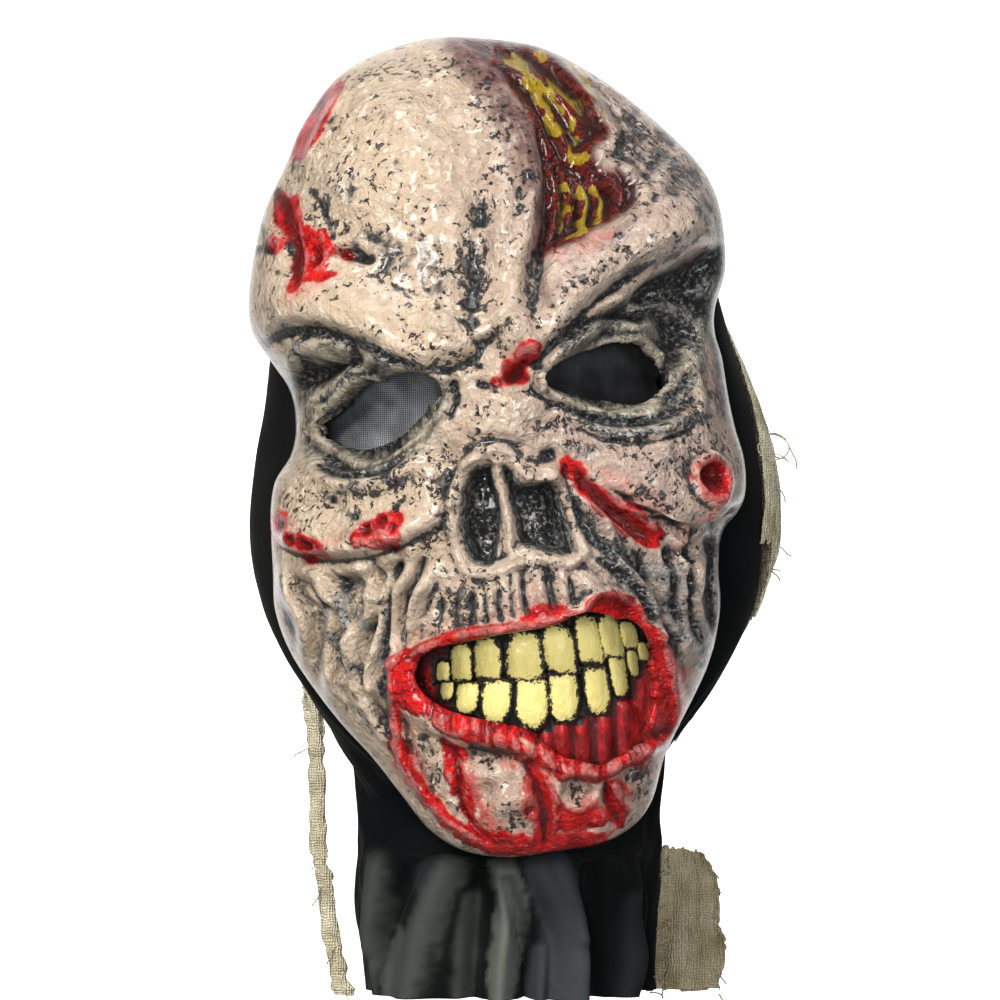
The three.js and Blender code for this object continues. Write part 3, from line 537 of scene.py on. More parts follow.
LID_FORMS = [
    ([(308, 358), (320, 356), (330, 357)], 28, 8.5, "round", 0.9),
    ([(292, 350), (301, 378), (312, 387), (332, 371), (350, 352),
     (352, 338)], 7, -3.4, "sharp", 0.8),
    ([(304, 428), (312, 404), (334, 382), (362, 366), (396, 358), (426, 364)], 15, 6, "round", 0.7),
    ([(314, 434), (317, 412), (334, 396), (357, 382), (383, 371), (410, 367), (434, 374),
     (445, 390)], 9, 3.5, "round", 0.8),
    ([(316, 404), (338, 384), (366, 370), (400, 364), (430, 371)], 4, -2, "sharp", 0.8),
    ([(314, 440), (330, 450), (355, 457), (384, 452), (406, 440), (426, 422),
     (443, 400)], 9, 5, "round", 0.8),
    ([(318, 456), (350, 468), (384, 462), (414, 442)], 14, 4.5, "round", 0.7),
    ([(314, 464), (350, 476), (386, 470), (416, 450)], 5, -2.4, "sharp"),
    ([(316, 474), (345, 486), (384, 482), (416, 464)], 9, 2.2),
    ([(452, 376), (456, 398), (446, 420)], 9, -3),
    ([(540, 382), (558, 358), (583, 345), (612, 338), (641, 338), (667, 348),
     (686, 366)], 13, 8, "round", 0.8),
    ([(542, 388), (566, 399), (592, 407), (620, 411), (646, 408), (668, 396),
     (684, 378)], 11, 6, "round", 0.8),
    ([(566, 344), (594, 329), (625, 322), (655, 325), (684, 342)], 12, 6),
    ([(575, 350), (606, 334), (640, 332), (672, 343)], 5, -2.4, "sharp"),
    ([(580, 326), (612, 310), (650, 309), (684, 322), (702, 344)], 6, -3.5, "sharp"),
    ([(598, 306), (640, 297), (682, 306), (706, 330)], 9, 2.5),
    ([(552, 400), (590, 416), (632, 424), (668, 416), (694, 398)], 7, -3, "sharp"),
    ([(560, 414), (600, 429), (645, 433), (684, 420)], 9, 2),
    ([(571, 420), (606, 440), (650, 444), (690, 430)], 6, -1.8, "sharp"),
    ([(697, 330), (694, 360), (700, 395), (694, 420)], 8, 2.4),
]


def carve_eyes(s):
    s.forms(LID_FORMS)


BRIDGE_FORMS = [
    ([(507, 392), (500, 440)], 46, 6), ([(514, 374)], 17, -7), ([(524, 353), (536, 350)], 11, 3),
    ([(470, 372), (486, 378), (500, 390)], 6, 2), ([(478, 386), (497, 382)], 6, -2.5),
    ([(548, 372), (534, 364)], 8, -3),
]
NOSE_BASINS = [
    ([(463, 482), (475, 466), (497, 461), (514, 470), (519, 483), (552, 480), (563, 500),
     (574, 548), (561, 556), (525, 547), (505, 562), (482, 568), (466, 558), (459, 530),
     (460, 503)], 5, 5),
    ([(463, 484), (476, 468), (489, 467), (493, 480), (498, 494), (501, 512), (500, 530),
     (497, 546), (494, 560), (482, 566), (468, 558), (460, 530), (461, 503)], 8, 6),
    ([(509, 470), (516, 484), (524, 486), (540, 482), (553, 482), (562, 503), (573, 546),
     (562, 554), (530, 548), (520, 543), (517, 525), (512, 506), (508, 490)], 8, 6),
]
NOSE_RIM_FORMS = [
    ([(498, 464), (499, 480), (503, 500), (509, 522), (509, 550)], 9, 4.5, "round", 0.9),
    ([(497, 470)], 10, 2),
    ([(475, 460), (459, 474), (452, 500), (453, 530), (458, 556), (472, 573), (494, 572),
     (520, 562)], 7, 2.6, "round", 0.9),
    ([(556, 474), (567, 496), (575, 524), (580, 552), (564, 563), (538, 558),
     (518, 564)], 7, 2.6, "round", 0.9),
    ([(464, 466), (482, 453), (503, 452), (516, 464), (524, 478)], 9, 2.8, "round", 0.9),
]
NOSE_BEADS = [(529, 479), (540, 483), (551, 478)]
NOSE_SIDE_FORMS = [
    ([(522, 470), (538, 472), (556, 468)], 12, 3), ([(540, 458), (558, 452)], 14, -2.5),
    ([(562, 446), (572, 462)], 12, 2.4),
    ([(566, 456), (566, 476), (574, 500), (580, 530)], 7, -4, "sharp"),
    ([(436, 440), (448, 470), (440, 505)], 20, -2.5),
    ([(520, 420), (540, 430), (560, 428)], 16, -1.5),
]


def carve_nose(s):
    s.forms(BRIDGE_FORMS)
    for outline, depth, edge in NOSE_BASINS:
        s.basin(outline, depth, edge)
    s.forms(NOSE_RIM_FORMS)
    for place in NOSE_BEADS:
        s.form([place], 10, 3.4)
    s.forms(NOSE_SIDE_FORMS)


CHEEKBONE_FORMS = [
    ([(266, 503), (285, 535), (320, 549), (362, 548), (400, 536), (434, 518)], 50, 8, "shelf", 0.6),
    ([(296, 582), (341, 585), (385, 576), (427, 555)], 15, -5), ([(640, 440), (722, 440)], 52, 4),
    ([(636, 496), (690, 512), (742, 500)], 44, 8, "shelf", 0.6),
    ([(662, 560), (700, 548), (726, 540)], 13, -4.5),
    ([(300, 630), (350, 632), (405, 606)], 62, -5), ([(690, 590), (702, 640)], 45, -4),
]
LEFT_TENDONS = [
    [(281, 560), (286, 594), (301, 617), (307, 660)],
    [(306, 572), (324, 589), (341, 606), (347, 629), (345, 660)],
    [(325, 618), (327, 655), (331, 690)],
    [(357, 570), (368, 592), (369, 611), (359, 629), (354, 645), (355, 684)],
    [(378, 575), (381, 616), (378, 642), (371, 674), (377, 690)],
    [(412, 555), (399, 590), (394, 630), (398, 660)], [(430, 575), (414, 606), (408, 640)],
]
LEFT_GROOVES = [
    [(394, 568), (387, 604), (385, 655), (383, 692)], [(296, 590), (316, 625), (318, 668)],
    [(335, 622), (338, 660), (344, 690)], [(372, 560), (376, 600), (368, 640), (362, 680)],
    [(420, 562), (407, 598), (402, 640)], [(372, 700), (383, 724), (398, 742)],
]
JAW_FORMS = [
    ([(377, 686)], 9, 3), ([(355, 690), (372, 713), (384, 730), (400, 752)], 13, 3),
]
RIGHT_TENDONS = [
    [(664, 547), (668, 574), (679, 603), (693, 646)], [(681, 546), (684, 581), (692, 620)],
    [(703, 550), (700, 596), (709, 645)], [(716, 550), (718, 600), (716, 645)],
    [(588, 497), (602, 531), (622, 558), (645, 590), (664, 630)],
    [(574, 545), (597, 562), (622, 577), (645, 612)],
]
RIGHT_GROOVES = [
    [(665, 541), (672, 581), (688, 636)], [(692, 533), (688, 581), (699, 636)],
    [(711, 527), (709, 596), (714, 640)], [(603, 536), (631, 566), (658, 600), (676, 640)],
    [(584, 553), (607, 568), (632, 588), (652, 622)], [(640, 556), (655, 590), (668, 618)],
]


def carve_cheeks(s):
    s.forms(CHEEKBONE_FORMS)
    for path in LEFT_TENDONS:
        s.form(path, 12, 7.2)
    for path in LEFT_GROOVES:
        s.form(path, 8, -5)
    s.forms(JAW_FORMS)
    for path in RIGHT_TENDONS:
        s.form(path, 11, 5.6)
    for path in RIGHT_GROOVES:
        s.form(path, 8, -5.2)


LIP_FORMS = [
    ([(470, 622), (540, 604), (606, 580)], 80, 5), ([(440, 705), (500, 745), (600, 770)], 70, 2),
    ([(392, 660), (421, 649), (450, 638), (478, 631), (500, 627), (540, 620),
     (570, 611)], 10, 3.4, "round", 0.8),
    ([(574, 611), (586, 597), (604, 592), (624, 600), (640, 617),
     (655, 635)], 10, 3.4, "round", 0.8),
    ([(652, 628), (667, 660), (676, 690), (681, 715), (672, 738),
     (650, 752)], 11, 4.5, "round", 0.9),
    ([(404, 672), (409, 693), (424, 708), (446, 720), (470, 726), (498, 735),
     (520, 742)], 24, 4.2, "round", 0.8),
    ([(505, 738), (535, 748), (556, 761), (580, 768), (602, 767), (622, 758),
     (650, 748)], 14, 4.4, "round", 0.9),
]
LIP_CRACKS = [
    ([(500, 588), (499, 606), (504, 624)], 6, -3.6), ([(522, 574), (523, 592), (527, 614)], 6, -4),
    ([(547, 573), (549, 590), (554, 612)], 9, -4), ([(472, 592), (474, 626)], 7, -3),
    ([(441, 598), (438, 622)], 6, -2.4), ([(456, 596), (455, 630)], 5, -2),
    ([(566, 578), (568, 604)], 6, -3), ([(511, 580), (512, 616)], 4, -1.6),
    ([(535, 574), (538, 606)], 4, -1.8), ([(486, 590), (488, 622)], 5, -2),
]
LIP_RIDGES = [
    [(516, 572), (518, 612)], [(490, 584), (494, 618)], [(534, 566), (541, 600)],
    [(558, 570), (562, 600)], [(482, 590), (482, 620)], [(464, 590), (466, 624)],
]
LIP_KNOB = [([(584, 584)], 16, 3.5)]
LOWER_LIP_CREASES = [
    (453, 706, 728), (471, 712, 734), (492, 722, 744), (508, 726, 748), (520, 732, 750),
    (536, 738, 756), (555, 752, 768), (574, 758, 776), (598, 760, 776), (618, 752, 768),
    (436, 700, 718), (484, 716, 738),
]


def carve_mouth(s):
    s.forms(LIP_FORMS)
    for path, reach, depth in LIP_CRACKS:
        s.form(path, reach, depth, "sharp")
    for path in LIP_RIDGES:
        s.form(path, 7, 2)
    s.forms(LIP_KNOB)
    for right, top, low in LOWER_LIP_CREASES:
        s.form([(right, top), (right + 2, low)], 4, -2.6, "sharp", 0.7)


def circle_round(middle, radius, points):
    """A drawn circle that ends where it starts."""
    turns = np.linspace(0, 2 * math.pi, points)
    return [
        (middle[0] + radius * math.cos(a), middle[1] + radius * math.sin(a)) for a in turns
    ]


CHIN_PIT = (578, 785)
CHIN_PIT_RADIUS = 21
CHIN_FORMS = [
    ([(470, 795), (540, 805), (602, 790)], 66, 4), ([(466, 752), (490, 757), (510, 750)], 17, -4.5),
    ([(510, 798)], 30, 2.4), ([(489, 789)], 15, -3), ([(578, 785)], 19, -6),
]
CHIN_CRACKS = [
    ([(446, 738), (458, 768), (460, 800), (474, 826), (488, 838)], 10, -3.5, "sharp"),
    ([(524, 764), (538, 790), (543, 815), (544, 842)], 11, -4.5, "sharp", 0.8),
    ([(536, 760), (552, 785), (556, 815)], 8, 2),
    ([(604, 780), (606, 800), (614, 814), (622, 828)], 9, -4, "sharp"),
    ([(612, 776), (622, 800), (632, 812)], 8, 2.4), ([(510, 808), (512, 826)], 6, -2.4, "sharp"),
    ([(530, 808)], 8, -2.6), ([(636, 768), (620, 780)], 12, -3),
    ([(391, 662), (398, 690), (396, 730), (402, 762), (425, 796), (452, 824),
     (488, 846)], 9, 3, "round", 0.7),
    ([(408, 724), (412, 758), (430, 788)], 8, -2),
    ([(384, 700), (388, 740), (396, 764)], 7, -2.4, "sharp"),
]
CHIN_PITS = [
    ((425, 738), 6), ((432, 752), 5), ((421, 760), 5), ((438, 776), 7), ((430, 790), 5),
    ((418, 776), 5), ((520, 786), 5), ((526, 800), 5), ((518, 814), 6), ((505, 768), 5),
    ((600, 756), 5), ((634, 782), 7), ((640, 796), 5), ((560, 822), 5), ((590, 826), 5),
]


def carve_chin(s):
    s.forms(CHIN_FORMS)
    s.form(circle_round(CHIN_PIT, CHIN_PIT_RADIUS, 14), 7, 1.3, ends=1)
    s.forms(CHIN_CRACKS)
    for place, reach in CHIN_PITS:
        s.form([place], reach, -1.8)


SKULL_WOUND = [
    (456, 38), (486, 67), (513, 96), (530, 122), (539, 150), (545, 180), (546, 210), (541, 245),
    (557, 250), (584, 236), (620, 216), (630, 190), (620, 178), (600, 170), (590, 153),
    (607, 134), (601, 119), (584, 92), (565, 62), (526, 43),
]
SKULL_RIDGES = [
    ([(520, 130), (527, 158), (531, 190), (530, 220), (524, 252)], 16, 3.4, "round", 0.6),
    ([(590, 92), (609, 122), (614, 138), (600, 154)], 9, 2.6, "round", 0.7),
    ([(600, 162), (624, 172), (637, 190), (630, 216), (600, 238)], 9, 2.8, "round", 0.7),
    ([(540, 130), (546, 160), (548, 200), (544, 250), (536, 300)], 6, -3.4, "sharp", 0.6),
]
SKULL_LOBES = [
    [(480, 46), (510, 66), (540, 88)], [(505, 50), (534, 72), (566, 100), (586, 128)],
    [(540, 96), (560, 122), (574, 150)], [(560, 66), (580, 88), (596, 112)],
    [(530, 108), (546, 130), (560, 156)],
]
SKULL_BARS = [
    [(553, 160), (560, 190), (556, 222), (548, 246)], [(564, 164), (574, 192), (570, 224)],
    [(576, 172), (589, 196), (584, 224)], [(590, 178), (604, 198), (598, 222)],
    [(604, 178), (619, 194), (612, 216)],
]
SKULL_SLITS = [
    [(569, 170), (580, 196), (577, 222)], [(584, 176), (596, 198), (591, 222)],
    [(598, 180), (612, 198), (606, 216)], [(558, 168), (567, 196), (562, 226)],
]
TEMPLE_FORMS = [
    ([(338, 82), (316, 110), (300, 146), (292, 166)], 12, -3.5),
    ([(326, 84), (304, 114), (288, 150)], 8, 2.2),
    ([(350, 86), (330, 112), (313, 146), (304, 172)], 8, 1.8),
    ([(281, 194), (289, 215), (295, 240), (302, 270), (310, 294)], 13, -3),
]
TEMPLE_FLAPS = [
    [(296, 193), (312, 204), (323, 222), (331, 250), (335, 268), (318, 281)],
    [(299, 212), (306, 238), (317, 262), (316, 280)], [(268, 205), (272, 235), (284, 262)],
    [(306, 206), (314, 230), (324, 252)],
]
TEMPLE_SLOT_FORMS = [
    ([(343, 254), (358, 257), (374, 263)], 10, -4.5),
    ([(338, 248), (356, 242), (380, 254), (377, 268), (356, 270), (340, 262),
     (338, 250)], 6, 2, "round", 1),
]
PITS = [
    ((275, 249), 8, -2.4), ((282, 274), 8, -2.4), ((282, 526), 13, -3.4), ((299, 540), 10, -3.4),
    ((312, 543), 9, -3), ((321, 546), 6, -4), ((374, 529), 11, -3.4), ((387, 521), 9, -4.4),
    ((398, 527), 9, -3), ((392, 548), 10, -2.4), ((362, 518), 6, -2), ((361, 545), 6, -2),
    ((514, 373), 10, -2), ((708, 477), 16, -5), ((672, 516), 6, -2),
]
PIT_BEADS = [([(291, 531)], 7, 2), ([(306, 548)], 6, 2), ([(380, 527)], 6, 2)]
CHEEK_PIT = (708, 477)
CHEEK_PIT_RADIUS = 18
CHEEK_WOUND_FORMS = [
    ([(571, 466), (590, 490), (609, 506), (628, 523), (656, 542)], 12, -4.5),
    ([(583, 470), (602, 490), (626, 510), (655, 526)], 8, 2.2),
    ([(566, 482), (584, 505), (606, 522), (634, 540)], 8, 1.8),
    ([(620, 508), (648, 514), (666, 508)], 9, 3, "shelf"),
    ([(672, 517), (684, 525), (678, 546)], 7, 2.2),
]


def carve_wounds(s):
    s.basin(SKULL_WOUND, 6, 17)
    s.forms(SKULL_RIDGES)
    for path in SKULL_LOBES:
        s.form(path, 9, 3.6, ends=0.5)
    for path in SKULL_BARS:
        s.form(path, 6, 3.6, ends=0.7)
    for path in SKULL_SLITS:
        s.form(path, 4, -2, "sharp")
    s.forms(TEMPLE_FORMS)
    for path in TEMPLE_FLAPS:
        s.form(path, 7, 2.8)
    s.forms(TEMPLE_SLOT_FORMS)
    for place, reach, depth in PITS:
        s.form([place], reach, depth)
    s.forms(PIT_BEADS)
    s.form(circle_round(CHEEK_PIT, CHEEK_PIT_RADIUS, 12), 8, 2.6, ends=1)
    s.forms(CHEEK_WOUND_FORMS)


def roughen(s):
    """The casting's own unevenness: soft lumps and pits from the mould."""
    for size, height in ((46, 1.1), (21, 0.7), (10, 0.42), (5.5, 0.26), (3.5, 0.16)):
        s.relief += s.share * height * MM * lumps(s.right + size * 3, s.down, size)


# Where the paints lie in the picture: outlines to fill, pairs of places between which a paint
# sets in, and lines to brush with their reach in steps and, for most, their strength
CHIN_FLUSH = [
    (402, 690), (420, 715), (470, 742), (520, 752), (560, 770), (620, 768), (655, 750),
    (640, 800), (620, 830), (560, 846), (490, 846), (440, 812), (405, 770),
]
LEFT_SOCKET = [
    (288, 358), (320, 342), (356, 350), (395, 372), (436, 380), (448, 392), (430, 436),
    (395, 464), (350, 476), (312, 464), (298, 430),
]
RIGHT_SOCKET = [
    (543, 374), (575, 345), (620, 305), (668, 274), (714, 258), (718, 290), (708, 330),
    (698, 370), (688, 404), (650, 428), (600, 420), (566, 406),
]
RIGHT_SOCKET_TOP = [
    (590, 326), (620, 306), (668, 276), (712, 262), (716, 290), (708, 330), (700, 350),
    (680, 322), (640, 314),
]
LEFT_NOSTRIL = [
    (463, 486), (475, 468), (488, 468), (492, 482), (497, 495), (500, 512), (499, 530),
    (495, 560), (482, 566), (468, 558), (460, 530), (461, 503),
]
RIGHT_NOSTRIL = [
    (511, 474), (524, 487), (540, 484), (553, 483), (562, 503), (573, 546), (562, 554),
    (530, 548), (519, 540), (516, 520), (510, 500),
]
MUZZLE_LEFT = (425, 440)
MUZZLE_RIGHT = (572, 590)
TENDONS_TOP = (545, 575)
TENDONS_FOOT = (700, 740)
CHIN_TOP = (744, 760)
BROW_LUMP = (314, 362)
PLAIN_SKIN = [
    ([(400, 100), (440, 150), (430, 230)], 60, 0.7),
    ([(420, 730), (500, 790), (620, 800)], 60, 0.2),
    ([(300, 310), (360, 310), (440, 335)], 22, 0.5),
]
SOCKET_CORNER = [(292, 372), (300, 400), (296, 430)]
LID_CREASES = [
    ([(294, 350), (302, 378), (312, 386), (332, 370), (350, 350), (348, 336)], 6),
    ([(288, 358), (304, 342), (326, 335), (352, 342), (376, 352), (404, 363), (440, 374)], 7),
    ([(314, 404), (336, 384), (364, 370), (398, 364), (430, 371)], 5),
    ([(316, 462), (350, 472), (386, 464), (412, 446)], 5),
    ([(560, 352), (606, 320), (660, 319), (696, 346)], 6),
    ([(548, 402), (590, 415), (632, 421), (668, 413), (692, 397)], 6),
    ([(580, 420), (620, 436), (664, 434)], 5),
]
GROOVE_WASH = [
    ([(282, 575), (286, 616), (304, 655)], 7, 0.8), ([(312, 572), (322, 620), (340, 668)], 7, 0.9),
    ([(330, 570), (344, 602), (350, 645), (366, 684)], 7, 0.9),
    ([(364, 572), (362, 606), (370, 655)], 7, 0.9), ([(392, 566), (386, 604), (383, 695)], 8, 0.95),
    ([(422, 560), (406, 600), (402, 640)], 7, 0.8),
    ([(577, 525), (620, 572), (650, 612), (676, 656)], 10, 1),
    ([(600, 540), (630, 566), (662, 606)], 9, 0.95), ([(586, 556), (612, 574), (640, 604)], 8, 0.9),
    ([(668, 550), (674, 600), (690, 645)], 7, 0.9), ([(692, 545), (692, 600), (702, 640)], 7, 0.9),
    ([(712, 540), (712, 640)], 8, 0.8), ([(446, 738), (458, 768), (460, 800), (474, 826)], 5, 0.95),
    ([(524, 764), (538, 790), (543, 815), (544, 842)], 6, 1),
    ([(604, 780), (606, 800), (614, 814), (622, 828)], 5, 0.95),
    ([(728, 510), (722, 640)], 18, 0.85), ([(718, 300), (722, 420)], 14, 0.6),
    ([(664, 425), (712, 418)], 12, 0.7), ([(450, 590), (480, 610)], 12, 0.5),
]
# Painted highlights: extra ridge paint that lightens the lump above the left eye, where its lower
# half faces down into shade, and the grey sparkle in the right nostril
PAINTED_HIGHLIGHT_RIDGES = [
    ([(311, 350), (322, 362)], 25, 0.95), ([(536, 500), (548, 538)], 17, 0.85),
]
CLOUD_WASH = [
    ([(480, 190), (474, 260)], 12, 0.5), ([(473, 250), (470, 340)], 14, 0.8),
    ([(349, 199)], 27, 0.7), ([(380, 117)], 15, 0.5), ([(430, 119)], 14, 0.5),
    ([(330, 497)], 20, 0.5), ([(332, 500)], 9, 0.9),
    ([(347, 490), (372, 484), (395, 478)], 14, 0.6), ([(420, 84), (400, 96), (378, 100)], 16, 0.45),
    ([(365, 76), (335, 100)], 12, 0.5), ([(470, 62), (500, 100), (520, 140), (528, 180)], 16, 0.4),
    ([(300, 168), (310, 190)], 12, 0.4), ([(418, 236), (440, 290)], 34, 0.62),
    ([(390, 150), (400, 180)], 16, 0.35), ([(432, 200), (440, 210)], 18, 0.4),
    ([(298, 584), (345, 586), (400, 575)], 16, 0.55), ([(388, 590), (384, 690)], 9, 0.6),
    ([(330, 630), (340, 680)], 24, 0.35), ([(300, 600), (310, 660)], 20, 0.35),
    ([(284, 590), (290, 640)], 12, 0.35), ([(425, 570), (415, 610), (405, 640)], 14, 0.4),
    ([(440, 600), (480, 605), (520, 596), (560, 590)], 26, 0.42),
    ([(610, 545), (640, 580), (662, 620)], 24, 0.66), ([(575, 500), (600, 540)], 16, 0.55),
    ([(672, 560), (690, 620)], 20, 0.62), ([(712, 560), (712, 640)], 18, 0.62),
    ([(640, 470), (690, 455)], 26, 0.45), ([(690, 330), (706, 370)], 14, 0.7),
    ([(655, 435), (690, 445)], 16, 0.5), ([(700, 430), (722, 440)], 14, 0.4),
    ([(548, 190), (542, 250), (532, 300)], 14, 0.55), ([(600, 255), (640, 230)], 16, 0.4),
    ([(620, 110), (650, 150), (690, 190)], 34, 0.42), ([(690, 210), (712, 230)], 18, 0.4),
    ([(357, 256)], 13, 0.9), ([(320, 545)], 8, 0.9), ([(387, 521)], 6, 0.8), ([(358, 516)], 8, 1.0),
    ([(400, 508)], 5, 1.0), ([(540, 455), (560, 448)], 12, 0.5),
    ([(445, 470), (440, 540)], 18, 0.45), ([(400, 480), (430, 460)], 20, 0.42),
    ([(600, 445), (640, 450)], 18, 0.4), ([(350, 690), (372, 730)], 14, 0.45),
    ([(466, 752), (508, 752)], 16, 0.5), ([(421, 740), (436, 780)], 15, 0.55),
    ([(489, 790)], 17, 0.34), ([(574, 784)], 15, 0.2), ([(636, 776)], 18, 0.4),
    ([(430, 715), (470, 742), (500, 746)], 14, 0.4), ([(586, 770), (560, 776)], 9, 0.4),
    ([(370, 240), (440, 280)], 36, 0.6), ([(570, 290), (620, 262), (680, 246)], 18, 0.5),
    ([(630, 130), (700, 210)], 60, 0.6), ([(664, 560), (700, 600)], 30, 0.5),
    ([(590, 420), (640, 428), (680, 418)], 10, 0.7), ([(545, 445), (600, 452)], 12, 0.6),
    ([(660, 455), (684, 470)], 12, 0.6), ([(620, 490), (660, 494)], 12, 0.5),
    ([(640, 560), (680, 600), (700, 650)], 40, 0.75), ([(560, 585), (640, 600)], 22, 0.6),
    ([(352, 470), (400, 466)], 10, 0.4), ([(516, 790), (518, 815)], 11, 0.5),
    ([(560, 345), (590, 318)], 10, 0.6), ([(505, 330), (500, 350)], 12, 0.45),
    ([(392, 660), (388, 690)], 10, 0.5),
]
STAINS = [
    ([(452, 44), (484, 76), (508, 106), (524, 146), (532, 190)], 34, 1),
    ([(540, 150), (544, 210), (536, 280)], 17, 0.85),
    ([(474, 46), (504, 78), (526, 112), (540, 152), (545, 200), (541, 250), (542, 292)], 9, 1),
    ([(560, 256), (600, 242), (628, 216)], 16, 0.55), ([(596, 100), (614, 130)], 12, 0.6),
    ([(600, 160), (636, 180)], 9, 0.5), ([(540, 290), (548, 310)], 9, 0.6),
    ([(395, 650), (388, 690), (392, 740)], 12, 0.5), ([(668, 640), (686, 690)], 12, 0.4),
    ([(560, 470), (576, 500), (610, 530)], 16, 0.4), ([(300, 540), (345, 560)], 10, 0.4),
    ([(352, 540), (368, 520)], 9, 0.5), ([(300, 190), (330, 230)], 8, 0.4),
]
BLOOD = [
    ([(340, 86), (324, 108), (311, 134), (303, 156)], 12),
    ([(281, 196), (286, 212), (290, 232)], 11), ([(297, 200), (301, 240), (307, 292)], 10),
    ([(311, 232), (320, 258), (318, 282)], 12), ([(328, 236), (336, 268)], 7),
    ([(272, 240), (280, 254)], 9), ([(345, 250), (350, 262)], 5), ([(318, 284), (345, 278)], 5),
    ([(548, 158), (560, 200), (556, 236)], 8), ([(518, 358), (535, 350)], 11),
    ([(508, 368), (524, 378)], 14), ([(496, 383)], 5), ([(281, 524)], 14),
    ([(292, 537), (312, 546), (334, 552)], 14), ([(368, 540), (386, 528), (402, 520)], 15),
    ([(384, 545), (404, 534)], 11), ([(572, 468), (580, 482)], 9),
    ([(580, 486), (604, 506), (630, 523), (656, 543)], 16), ([(708, 477)], 20),
    ([(566, 462), (574, 474)], 12), ([(640, 530), (662, 536)], 10), ([(398, 662), (404, 674)], 9),
    ([(394, 657), (408, 664)], 9),
    ([(391, 655), (398, 690), (397, 735), (404, 764), (426, 794), (452, 824), (490, 848),
     (520, 852)], 8),
    ([(392, 658), (421, 649), (450, 638), (500, 628), (540, 620), (568, 612)], 7),
    ([(520, 622), (560, 610)], 11), ([(576, 612), (590, 600), (612, 600), (640, 616)], 10),
    ([(648, 640), (660, 680), (662, 720), (652, 740)], 18),
    ([(404, 675), (411, 694), (424, 708)], 10), ([(446, 720), (475, 730), (520, 744)], 13),
    ([(530, 748), (556, 762), (590, 770), (620, 760), (660, 746)], 11),
    ([(530, 762), (547, 800), (548, 846)], 12), ([(610, 782), (616, 806), (620, 824)], 10),
    ([(446, 740), (462, 790), (472, 820)], 9), ([(452, 745), (462, 755)], 9),
    ([(470, 830), (520, 845), (600, 838)], 13), ([(555, 820), (600, 820)], 12),
]
BLOOD_FILM = [
    ([(450, 740), (470, 790), (500, 836)], 0.5), ([(530, 770), (540, 830)], 0.6),
    ([(556, 812), (610, 812)], 0.6), ([(616, 780), (624, 812)], 0.6),
    ([(480, 838), (540, 846), (610, 836)], 0.6), ([(400, 700), (404, 760), (440, 815)], 0.45),
    ([(440, 715), (500, 740), (560, 765), (630, 760)], 0.6),
    ([(660, 640), (676, 700), (664, 745)], 0.6), ([(420, 640), (500, 618), (560, 600)], 0.3),
    ([(568, 462), (600, 500), (650, 540)], 0.5), ([(690, 470), (708, 496)], 0.4),
    ([(500, 378), (530, 360)], 0.5), ([(282, 225), (330, 270)], 0.5),
    ([(280, 520), (320, 548)], 0.45), ([(370, 535), (402, 515)], 0.45),
    ([(282, 200), (300, 240), (312, 290)], 0.5), ([(332, 88), (306, 130), (296, 158)], 0.5),
    ([(494, 750), (520, 756)], 0.45), ([(410, 720), (408, 750), (425, 785)], 0.4),
    ([(480, 800), (500, 830)], 0.4), ([(575, 800), (600, 806)], 0.45),
    ([(640, 765), (655, 755)], 0.5), ([(600, 470), (640, 500), (668, 520)], 0.35),
    ([(700, 500), (690, 520), (676, 540)], 0.35), ([(340, 540), (352, 545)], 0.3),
    ([(560, 575), (500, 612)], 0.22), ([(400, 645), (430, 632)], 0.3),
    ([(575, 255), (600, 240)], 0.35), ([(540, 232), (560, 262)], 0.35),
    ([(300, 300), (330, 290)], 0.35), ([(672, 660), (680, 700)], 0.5),
]
WOUND_STRANDS = [
    ([(507, 56), (526, 72), (545, 90), (566, 108)], 5.5), ([(545, 72), (566, 92), (585, 112)], 5),
    ([(545, 110), (560, 122), (578, 124)], 5), ([(536, 52), (552, 60)], 4),
    ([(572, 150), (588, 156)], 6), ([(566, 176), (578, 190)], 5),
    ([(580, 182), (592, 205), (584, 222)], 4.5), ([(594, 184), (606, 204), (596, 224)], 4.5),
    ([(584, 136), (578, 128)], 5), ([(566, 60), (584, 84), (596, 104)], 4),
    ([(512, 52), (524, 66), (530, 84), (546, 104)], 5), ([(552, 86), (548, 104), (562, 118)], 5),
    ([(572, 112), (580, 130), (572, 146)], 5), ([(558, 168), (566, 200), (562, 230)], 3.5),
    ([(570, 200), (584, 226), (566, 240)], 4),
]


